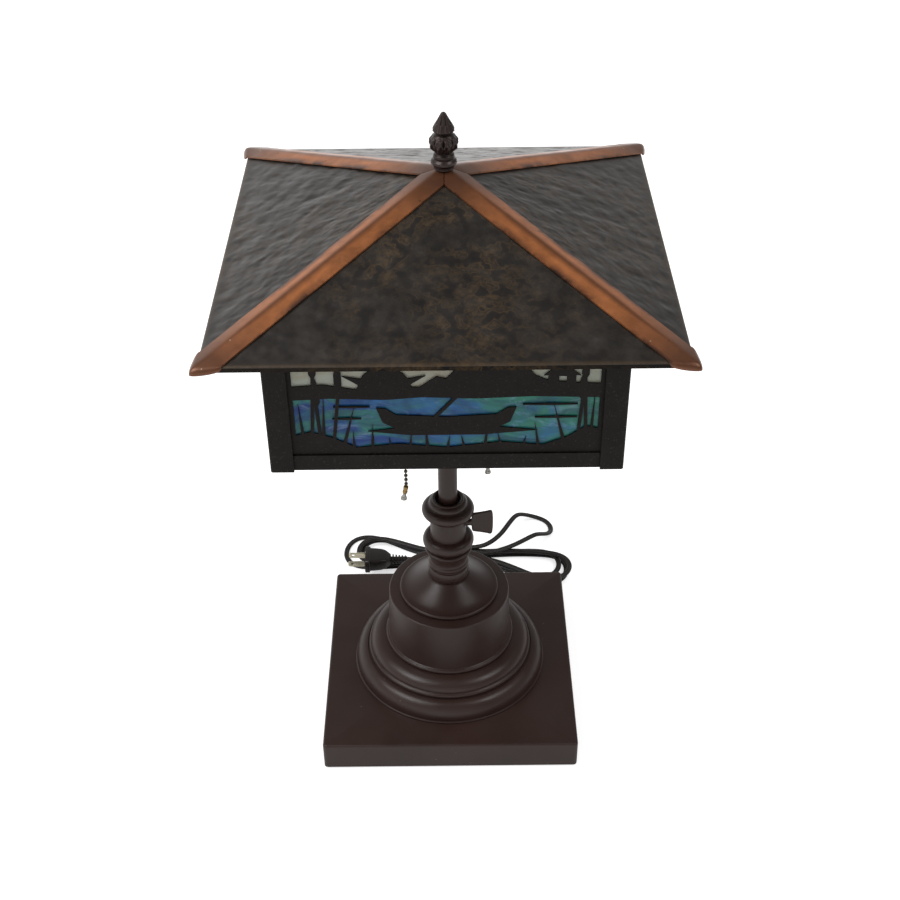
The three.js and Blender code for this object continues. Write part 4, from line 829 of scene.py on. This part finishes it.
class LAMP_OT_band(LampOperator, bpy.types.Operator):
    """Makes the corner posts and the bottom frame, and finishes the pierced sheets"""
    bl_idname = "lamp.band"
    bl_label = "Glazed band"

    def build(self, sizes, colours):
        dark = etched_bronze(colours.etched)
        half, width, thick, round_off = sizes.band_side / MM / 2, 17.0, 1.2, 0.9
        faces = (half, round_off + thick), (half - thick, round_off)
        low, high = mm("corner_post_front_right", 2, 0), mm("corner_post_front_right", 2)
        for i, name in enumerate(CORNERS):
            outside, inside = (np.concatenate([
                [(side, width - half)], arc((side - r, r - side), (r, r), 0, -90, 6),
                [(half - width, -side)]]) for side, r in faces)
            z = np.array([low, high])[:, None]
            upper, lower = (grid(line[None, :, 0], line[None, :, 1], z) for line in (outside, inside))
            piece(f"post_{name}", [quarter_slab(upper, lower, i)], dark, "shade",
                  [f"corner_post_{name}"], sharp=40, bevel=0.3)
        outer, bottom, top = mm("bottom_frame", 0), mm("bottom_frame", 2, 0), mm("bottom_frame", 2)
        rail, sheet, upstand = 7.9, 1, 8
        inner = outer - rail + sheet
        levels = [(outer, bottom), (outer, top), (outer - sheet, top), (outer - sheet, bottom + sheet),
                  (inner + sheet, bottom + sheet), (inner + sheet, bottom + upstand),
                  (inner, bottom + upstand), (inner, bottom)]
        rings = square_rings(levels, outer, 1.6, 0.2, steps=3)
        piece("frame_ring", [skin(rings, closed=True)], dark, "shade", ["bottom_frame"],
              sharp=30, bevel=0.2)
        dress(dark, *(f"filigree_{name}" for name in WALLS))


class LAMP_OT_glass(LampOperator, bpy.types.Operator):
    """Rolls the panes of swirled glass"""
    bl_idname = "lamp.glass"
    bl_label = "Glass"

    def build(self, sizes, colours):
        """Each face of a pane is moved inwards by up to two wave heights of lattice noise."""
        wave, wave_size, columns, rows = 0.12, 22, 70, 24
        sky = sky_glass(colours.sky)
        water = water_glass(colours.deep, colours.water, colours.shoal)
        for kind, finish in (("sky", sky), ("water", water)):
            node = f"glass_{kind}_front"
            half, bottom, top = mm(node, 0), mm(node, 2, 0), mm(node, 2)
            front, back = mm(node, 1, 0), mm(node, 1)
            x, z = np.meshgrid(np.linspace(-half, half, columns), np.linspace(bottom, top, rows))
            for i, name in enumerate(WALLS):
                outer, inner = (wave * (1 + lattice_noise(x + 300, z, wave_size, 60 + 4 * i + k, 2))
                                for k in (0, 1))
                pane = quarter_slab(grid(x, front + outer, z), grid(x, back - inner, z), i)
                piece(f"{kind}_pane_{name}", [pane], finish, "shade",
                      [f"glass_{kind}_{name}"], sharp=40)


class LAMP_OT_column(LampOperator, bpy.types.Operator):
    """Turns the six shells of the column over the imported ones"""
    bl_idname = "lamp.column"
    bl_label = "Column"

    def build(self, sizes, colours):
        z0, z1, z2, z3, z4, z5, z6 = (
            mm(node, 2) for node in ("foot_plate", "lower_plinth", "upper_plinth", "drum", "bell_cap",
                                     "neck_lower", "neck_collar"))
        r0, r1, r2, r3, r5 = (mm(node, 0) for node in (
            "lower_plinth", "upper_plinth", "drum", "bell_cap", "neck_lower"))
        bore, wall, shaft, lap, seat, ring = 10.3, 2.0, 15.6, 8.0, 5.6, 22.2
        drum_inset, ledge = 1.1, 2.2
        step = r2 - drum_inset + ledge
        shells = {
            "lower_plinth": [
                *off(r0, z0, (-0.4, 0), (0, 0.4), (0, 1.2), (-0.9, 2.0), (-1.0, 2.6)),
                *arc((r1 + 0.6, z0 + 3), (r0 - r1 - 1.6, z1 - z0 - 3.2), 0, 86, 24),
                *off(r1, z1, (0.7, -0.9), (-0.6, -0.7), (-0.8, 0), (-lap, 0), (-lap, -wall), (-wall, -wall)),
                *off(r0, z0, (-wall, 3), (-wall, 0))],
            "upper_plinth": [
                (r1 - 1.2, z1), *arc((r1 - 1.9, z1 + 2.2), (1.9, 1.9), -60, 80, 8),
                *off(r1, z1, (-2.5, 4.5), (-2.3, 5.0)),
                *arc((step, z1 + 5.0), (r1 - step - 2.2, z2 - z1 - 5.0), 0, 90, 20),
                *off(r2, z2, (-lap, 0), (-lap, -wall)), (step - wall, z2 - wall),
                *off(r1, z1, (-4, 5), (-wall, 0))],
            "drum": [
                *arc((r2 - 1.9, z2 + 1.9), (1.9, 1.9), -90, 90, 12), *off(r2, z2, (-2.6, 4.3), (-2.7, 6.5)),
                (r2 - 4.3, z3 - 2.2), *arc((r2 - 5.5, z3 - 1.2), (1.2, 1.2), 0, 90, 8),
                *off(r3, z3, (-seat, 0), (-seat, -wall)), (r2 - 6.4, z3 - wall), (r2 - 4.6, z2)],
            "bell_cap": [
                (r3 - 4.6, z3), *arc((r3 - 1.9, z3 + 1.9), (1.9, 1.9), -90, 90, 12), (r3 - 2.8, z3 + 4.0),
                *bezier((r3 - 2.6, z3 + 4.4), (36.0, z3 + 4.9), (29.6, z3 + 8.8), (17.2, z4)),
                (bore, z4), (bore, z4 - 3), (22.5, z3 + 8.4), (37.9, z3 + 1.8)],
            "neck_lower": [
                (bore, z4), (16.0, z4), *arc((15.9, z4 + 5.6), (1.7, 5.4), -80, 60, 12),
                *arc((15.8, z4 + 11.4), (0.9, 0.9), -90, 20, 4),
                *arc((15.8, z4 + 14.6), (1.8, 2.3), -60, 70, 8),
                *bezier((16.2, z4 + 17.2), (15.9, z4 + 19.6), (16.4, z4 + 21.8), (17.6, z4 + 25.2), 8),
                *arc((18.0, z4 + 28.9), (1.6, 2.5), -70, -8, 6),
                *arc((18.4, z4 + 30.2), (1.9, 1.6), -10, 75, 6),
                (17.3, z5 - 11.9), (17.3, z5 - 11.2), *arc((r5 - 4.5, z5 - 5.6), (4.5, 5.2), -76, -38, 6),
                *arc((r5 - 4.4, z5 - 5.4), (4.4, 5.4), -30, 90, 18), (bore, z5)],
            "neck_collar": [
                (bore, z5), *off(shaft, z5, (0, 0), (0, 1.0), (-0.3, 3), (-0.3, 17), (0, 20.3)),
                *arc((shaft, z5 + 21.8), (1.6, 1.5), -80, 80, 10),
                *arc((ring - 4.8, z5 + 28.1), (4.8, 4.8), -76, -32, 8), (21.1, z5 + 25.9),
                *arc((ring - 4.7, z5 + 28.1), (4.7, 4.8), -24, 84, 20),
                *off(0, z6, (17.2, -7.0), (16.4, -6.4)),
                *arc((11.6, z6 - 5.6), (4.9, 4.4), 0, 62, 12), (13.3, z6 - 1.2),
                *arc((12.6, z6 - 0.8), (0.9, 0.8), 0, 90, 4),
                *off(0, z6, (11.8, 0), (11.0, -0.6), (11.0, -6), (bore, -6))],
        }
        for node, profile in shells.items():
            piece(node + "_shell", [turned(profile)], paint(colours), "base", [node], sharp=38)


class LAMP_OT_screw(LampOperator, bpy.types.Operator):
    """Forges the thumb screw that clamps the pole"""
    bl_idname = "lamp.screw"
    bl_label = "Thumb screw"

    def build(self, sizes, colours):
        """Superellipses |y/a|^n + |z/b|^n = 1 carried along X, from the round stem to the flat paddle."""
        low, high = span("clamp_screw")
        middle = (low[2] + high[2]) / 2
        half = (high[2] - low[2]) / 2
        stations = np.array([
            (low[0], 3.0, 3.0, 2), (18.2, 3.0, 3.0, 2), (19.9, 2.3, 3.4, 2.2), (20.1, 1.9, 6.8, 3),
            (20.5, 1.9, 8.6, 4), (21.7, 2.0, 9.6, 5), (27.0, 1.8, 10.6, 5), (33.0, 1.8, 11.9, 5),
            (35.8, 1.9, half, 5), (37.0, 1.8, half - 0.5, 5), (37.7, 1.6, half - 1.7, 4),
            (38.1, 1.2, half - 4.5, 3), (high[0], 0.7, half - 7.5, 2.4)])
        at = stations[:, 0]
        runs = [np.linspace(a, b, 6, endpoint=False) for a, b in zip(at[:-1], at[1:])]
        x = np.concatenate([*runs, at[-1:]])
        a, b, n = (np.interp(x, at, stations[:, k])[:, None] for k in (1, 2, 3))
        c, s = np.cos(around(64)), np.sin(around(64))
        y = a * np.sign(c) * np.abs(c) ** (2 / n)
        z = b * np.sign(s) * np.abs(s) ** (2 / n)
        piece("thumb_screw", [skin(grid(x[:, None], y, middle + z))], paint(colours), "clamp",
              ["clamp_screw"], sharp=50)


def upright(side):
    """Carries a body built about +Z onto the cluster's arm that leans 45 degrees to one side."""
    pivot = 6.5
    return lift(mm("cluster", 2, 0) + pivot) @ Matrix.Rotation(side * math.pi / 4, 4, "Y")


class LAMP_OT_mast(LampOperator, bpy.types.Operator):
    """Turns the pole and the two-arm cluster with its sockets and bulbs"""
    bl_idname = "lamp.mast"
    bl_label = "Mast"

    def build(self, sizes, colours):
        brown = paint(colours)
        radius, bottom, top = sizes.pole_radius / MM, mm("pole", 2, 0), mm("pole", 2)
        edge, bore = 0.4, 6.6
        pole = turned((radius - edge, bottom), (radius, bottom + edge), (radius, top), (bore, top),
                      (bore, bottom), steps=64)
        piece("pole_tube", [pole], brown, "mast", ["pole"])
        low = mm("cluster", 2, 0)
        hub = turned((8.3, low), *arc((11.5, low + 1.5), (1.5, 1.5), -90, 0, 5), (13, low + 6),
                     *arc((8, 361), (5, 5), 0, 90, 10), (3.3, 366), (3.3, 359), (8.3, 356.3), steps=64)
        arms = [moved(turned((5.0, 11.5), (6.5, 12.5), (6.5, 27.0), (7.2, 27.6), (7.2, 29.6), (6.5, 30.0),
                             steps=48, hollow=False), upright(side)) for _, side in SIDES]
        piece("cluster_cast", [hub, *arms], brown, "mast", ["cluster"], sharp=40)
        brass = cast_metal("aged_brass", colours.brass, 0.36, 0.9, 220, 0.03)
        bright = cast_metal("pale_brass", colours.blade, 0.28, 0.95, 260, 0.02)
        bulb = frosted_glass()
        cap_at, glass_at = 48.6, 74.9
        for name, side in SIDES:
            self.socket(name, side, brass)
            cap = moved(self.thread(), upright(side) @ lift(cap_at))
            piece(f"bulb_cap_thread_{name}", [cap], bright, "mast", [f"bulb_cap_{name}"],
                  sharp=50)
            glass = turned((12.4, 0), (12.4, 9),
                           *bezier((12.4, 9), (12.4, 16), (14.2, 20), (16.06, 27.17), 10),
                           *arc((0, 45), (24, 24), -47, 89.5, 30), (0.2, 67.8),
                           *arc((0, 45), (22.8, 22.8), 89, -46, 24), (11.2, 12), (11.2, 0), steps=64)
            glass = moved(glass, upright(side) @ lift(glass_at))
            piece(f"bulb_{name}", [glass], bulb, "mast", [f"bulb_glass_{name}"], sharp=60)

    def socket(self, name, side, finish):
        """A beaded shell on the arm, and an upright boss with a flared mouth for the chain."""
        shell = turned((10, 0), (16.2, 8.6), *arc((15.6, 10.2), (1.4, 1.6), -40, 0, 4), (17, 20),
                       *arc((16.4, 21.2), (0.6, 0.9), -80, 80, 6), (16.6, 23.4), (16.6, 27),
                       *arc((16.4, 28.4), (0.6, 0.9), -80, 80, 6), (17, 30), (17, 51), (16.7, 52),
                       *arc((16.7, 53), (0.9, 1.0), -90, 90, 8), (14.8, 54), (14.8, 18), (13.0, 17.9),
                       steps=72, hollow=False)
        bottom, boss_at, shell_at = 366.7, (34, 17), 30.3
        boss = turned(off(0, bottom, (2.2, 0), (3.0, 0), (3.4, 0.8), (2.9, 2.2), (2.9, 4), (3.4, 5),
                          (3.4, 13), (2.2, 13)), steps=32)
        place = Matrix.Translation((side * boss_at[0], side * boss_at[1], 0))
        shells = [moved(shell, upright(side) @ lift(shell_at)), moved(boss, place)]
        piece(f"socket_shell_{name}", shells, finish, "mast", [f"socket_{name}"], sharp=40)

    def thread(self):
        """A screw cap: r = 13 - depth (1 - cos(2 pi z / pitch - t)) / 2, so the ridge climbs one pitch
        a turn."""
        pitch, depth = 3.6, 0.9
        z = np.concatenate([[0, 1.2, 5], np.linspace(5.5, 22, 60), [22.6, 26]])[:, None]
        t = around(64)
        ridge = depth * (1 - np.cos(2 * np.pi * z / pitch - t)) / 2
        base = np.interp(z, [0, 1.2, 5, 5.5, 22, 22.6, 26], [4.5, 5, 12.2, 13, 13, 12.6, 12.6])
        r = base - np.where((z > 5.2) & (z < 22.3), ridge, 0)
        return skin(lathe(r, t, z))


class LAMP_OT_finial(LampOperator, bpy.types.Operator):
    """Carves the cast finial: rings, a leafed ball and a leafed cone"""
    bl_idname = "lamp.finial"
    bl_label = "Finial"

    def build(self, sizes, colours):
        """The radius is profile(z) (1 - d (1 - |sin 4t|^p) + curl) (1 + rib). The depth d is only on the
        ball and the cone, the curl on the ball and the rib on the cone. The cone's leaves are half a leaf
        round above the shift. The flange starts just above the crests of the ridge strips."""
        crest_room, ball_depth, cone_depth, curl_height, rib, shift = 0.35, 0.16, 0.14, 0.07, 0.03, 0.8
        low, high = mm("finial", 2, 0) + crest_room, mm("finial", 2)
        tall = high - low
        share = np.array([0, .03, .05, .1, .14, .18, .22, .25, .275, .31, .35, .39, .43, .47, .51, .55,
                          .585, .615, .63, .645, .665, .69, .72, .76, .8, .86, .92, .965, .985, 1.0])
        radius = np.array([7.5, 7.5, 7.6, 9.37, 9.2, 7.5, 7.9, 7.4, 6.0, 6.8, 8.6, 9.6, 10.2, 10.4, 10.1,
                           9.4, 8.1, 6.4, 5.4, 4.9, 7.0, 8.0, 7.6, 6.8, 5.9, 4.5, 3.1, 2.2, 1.7, 0.7])
        up = np.linspace(0, 1, 221)[:, None]
        r = np.interp(up, share, radius)
        t = around(192)
        ball = np.interp(up, [.3, .34, .56, .61], [0, 1, 1, 0])
        cone = np.interp(up, [.66, .71, .93, .99], [0, 1, 1, 0])
        seam = 1 - np.abs(np.sin(4 * t)) ** 0.5
        curl = curl_height * np.sin(2 * np.pi * (up - .34) / .22) * np.cos(16 * t) * ball
        point = np.abs(np.sin(4 * t + np.pi * (up > shift) / 2)) ** 0.6
        r = r * (1 - ball_depth * seam * ball - cone_depth * (1 - point) * cone + curl)
        r = r * (1 + rib * np.cos(24 * t) * cone)
        bronze = cast_metal("dark_bronze", colours.finial, 0.36, 0.5, 240, 0.05)
        piece("finial_cast", [skin(lathe(r, t, low + tall * up))], bronze, "finial",
              ["finial"], sharp=60)


def roof_lines():
    """The roof's apex height, its fall per millimetre out and the cosine of its lean."""
    half, eave = mm("roof_panel_front", 0) + HIP_GAP, mm("roof_panel_front", 2, 0) + 4
    top = mm("roof_panel_front", 2)
    fall = (top - eave) / (half - ROOF_START)
    return half, top + fall * ROOF_START, fall, math.cos(math.atan(fall))


class LAMP_OT_roof(LampOperator, bpy.types.Operator):
    """Beats the four hammered roof panels"""
    bl_idname = "lamp.roof"
    bl_label = "Roof panels"

    def build(self, sizes, colours):
        """Each panel is z = apex - fall d + dent / lean for a distance d out. The dent is the panel's depth
        times (1.6 wide noise + 0.35 fine noise - 1.2), and fades out at the edges. A lip turns down at the
        eave, and a second sheet lies a thickness below."""
        half, apex, fall, lean = roof_lines()
        thick, lip, bend, rows, columns = 1.2, 4.0, 1.5, 100, 161
        fine_size, eave_fade, hip_fade = 3.2, 8, 14
        bronze = hammered_bronze(colours.bronze, colours.gold, (apex - fall * half - 0.4) * MM)
        turn = np.linspace(.3, 1.57, 5)
        out = np.concatenate([np.linspace(ROOF_START, half - bend, rows), half - bend * (1 - np.sin(turn)),
                              np.full(5, half)])[:, None]
        drop = np.concatenate([np.zeros(rows), 0.5 * (1 - np.cos(turn)), np.linspace(1, lip, 5)])[:, None]
        share = np.linspace(-1, 1, columns)[None, :]
        for i, name in enumerate(WALLS):
            x = share * (out - HIP_GAP)
            size, strength = DENTS_ON.get(name, DENTS)
            dents = lattice_noise(x + 400, out / lean + 300, size, 11 * i + 1, 3)
            fine = lattice_noise(x + 200, out / lean + 100, fine_size, 11 * i + 5, 2)
            inside = (np.clip((half - out) / eave_fade, 0, 1)
                      * np.clip((1 - np.abs(share)) * out / hip_fade, 0, 1))
            depth = sizes.hammer / MM * strength
            dent = depth * (dents * 1.6 + fine * 0.35 - 1.2) * inside
            z = apex - fall * out - drop + dent / lean
            upper = grid(x, -out, z)
            deep = np.minimum(out, half - thick)
            lower = grid(share * (deep - HIP_GAP), -deep, np.where(
                out >= half, z, apex - fall * deep - thick / lean + np.minimum(dent, 0) / lean))
            lower[-1, :, 2] = upper[-1, :, 2]
            piece(f"roof_sheet_{name}", [quarter_slab(upper, lower, i)], bronze, "shade",
                  [f"roof_panel_{name}"], sharp=50)


class LAMP_OT_ridges(LampOperator, bpy.types.Operator):
    """Folds the four copper ridge strips with their curled noses"""
    bl_idname = "lamp.ridges"
    bl_label = "Ridge strips"

    def build(self, sizes, colours):
        copper = ridge_copper(colours.copper, colours.patina)
        outside, inside = 1.5, 0.3
        for i, name in enumerate(CORNERS):
            upper, lower = self.face(outside, i), self.face(inside, i)
            made = piece(f"ridge_fold_{name}", [quarter_slab(upper, lower, i)], copper, "shade",
                         [f"ridge_strip_{name}"], sharp=48)
            across = np.abs(np.linspace(-1, 1, upper.shape[1]))
            layer = made.data.attributes.new("across", "FLOAT", "POINT")
            layer.data.foreach_set("value", np.tile(across, 2 * upper.shape[0]))

    def face(self, raised, seed):
        """Across the hip, s in -1..1 gives a reach r = width (sqrt(s^2 + e^2) - e) / (sqrt(1 + e^2) - e)
        for a crest of softness e. Then x - y = 2 hip + (b - a) r and x + y = -(a + b) width s, where a
        and b split the reach along the two panels. The nose turns the section down about the eave by an
        angle that grows to a right angle."""
        half, apex, fall, lean = roof_lines()
        width, gap, soft, turns, start, end, ripple = 12.0, 0.25, 0.2, 9, 3.4, 152, 0.16
        nose_edge, nose_middle, nose_stretch = 0.5, 3.8, 1.2
        size = math.sqrt((1 + fall * fall) ** 2 + 1 + fall * fall)
        a, b = (1 + fall * fall) / size, 1 / size
        s = np.linspace(-1, 1, 33)
        bend = (np.sqrt(s * s + soft * soft) - soft) / (math.sqrt(1 + soft * soft) - soft)
        mitre = gap + a * width
        hips = np.concatenate([np.linspace(start, mitre, 8), np.linspace(mitre + 2, end, 60)])
        reach = np.minimum(width, (hips - gap) / a)[:, None]
        wave = ripple * lattice_noise(hips[:, None] + 0 * s, 0 * hips[:, None] + 6 * s, 16, 40 + seed, 2)
        wave = (wave - ripple) * np.clip((hips[:, None] - 12) / 20, 0, 1) * (raised > 1)

        def beside(hip, along, across):
            """X and Y of a spot beside the hip line."""
            slide, aside = (b - a) / 2 * along, (a + b) / 2 * across
            return hip + slide - aside, -hip - slide - aside

        hip, along = hips[:, None], reach * bend[None, :]
        z = apex - fall * (hip + b * along) + (raised + wave) / lean
        rows = [grid(*beside(hip, along, reach * s[None, :]), z)]
        tilt = math.atan(fall)
        foot_hip = half - b * width * bend
        foot_z = apex - fall * (foot_hip + b * width * bend) + raised / lean
        foot_x, foot_y = beside(foot_hip, width * bend, width * s)
        round_off = np.sqrt(np.clip(1 - s * s, 0, 1))
        for turn in np.linspace(tilt, np.pi / 2, turns):
            far = nose_edge + (nose_middle - nose_edge) * round_off + raised
            out = nose_stretch * far * (math.sin(turn) - math.sin(tilt))
            inner = out * (1 - np.abs(s))
            rows.append(grid(foot_x + np.where(s > 0, inner, out), foot_y - np.where(s > 0, out, inner),
                             foot_z - far * (math.cos(tilt) - math.cos(turn)))[None])
        return np.concatenate(rows)


class LAMP_PT_panel(bpy.types.Panel):
    """Lists the lamp's operators with its sizes and colours"""
    bl_label = "Lamp"
    bl_idname = "LAMP_PT_panel"
    bl_space_type = "VIEW_3D"
    bl_region_type = "UI"
    bl_category = "Lamp"

    def draw(self, context):
        layout = self.layout
        for group in (context.scene.lamp_sizes, context.scene.lamp_colours):
            for name in type(group).__annotations__:
                layout.prop(group, name)
        for operator in OPERATORS:
            layout.operator(operator.bl_idname)


OPERATORS = (
    LAMP_OT_stage, LAMP_OT_cord, LAMP_OT_foot, LAMP_OT_column, LAMP_OT_screw, LAMP_OT_mast, LAMP_OT_chains,
    LAMP_OT_finial, LAMP_OT_roof, LAMP_OT_ridges, LAMP_OT_band, LAMP_OT_glass,
)


def register():
    for cls in (LampSizes, LampColours, *OPERATORS, LAMP_PT_panel):
        bpy.utils.register_class(cls)
    bpy.types.Scene.lamp_sizes = bpy.props.PointerProperty(type=LampSizes)
    bpy.types.Scene.lamp_colours = bpy.props.PointerProperty(type=LampColours)


def unregister():
    del bpy.types.Scene.lamp_colours, bpy.types.Scene.lamp_sizes
    for cls in reversed((LampSizes, LampColours, *OPERATORS, LAMP_PT_panel)):
        bpy.utils.unregister_class(cls)


def main():
    """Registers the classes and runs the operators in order."""
    register()
    for operator in OPERATORS:
        family, name = operator.bl_idname.split(".")
        getattr(getattr(bpy.ops, family), name)()


if __name__ == "__main__":
    main()
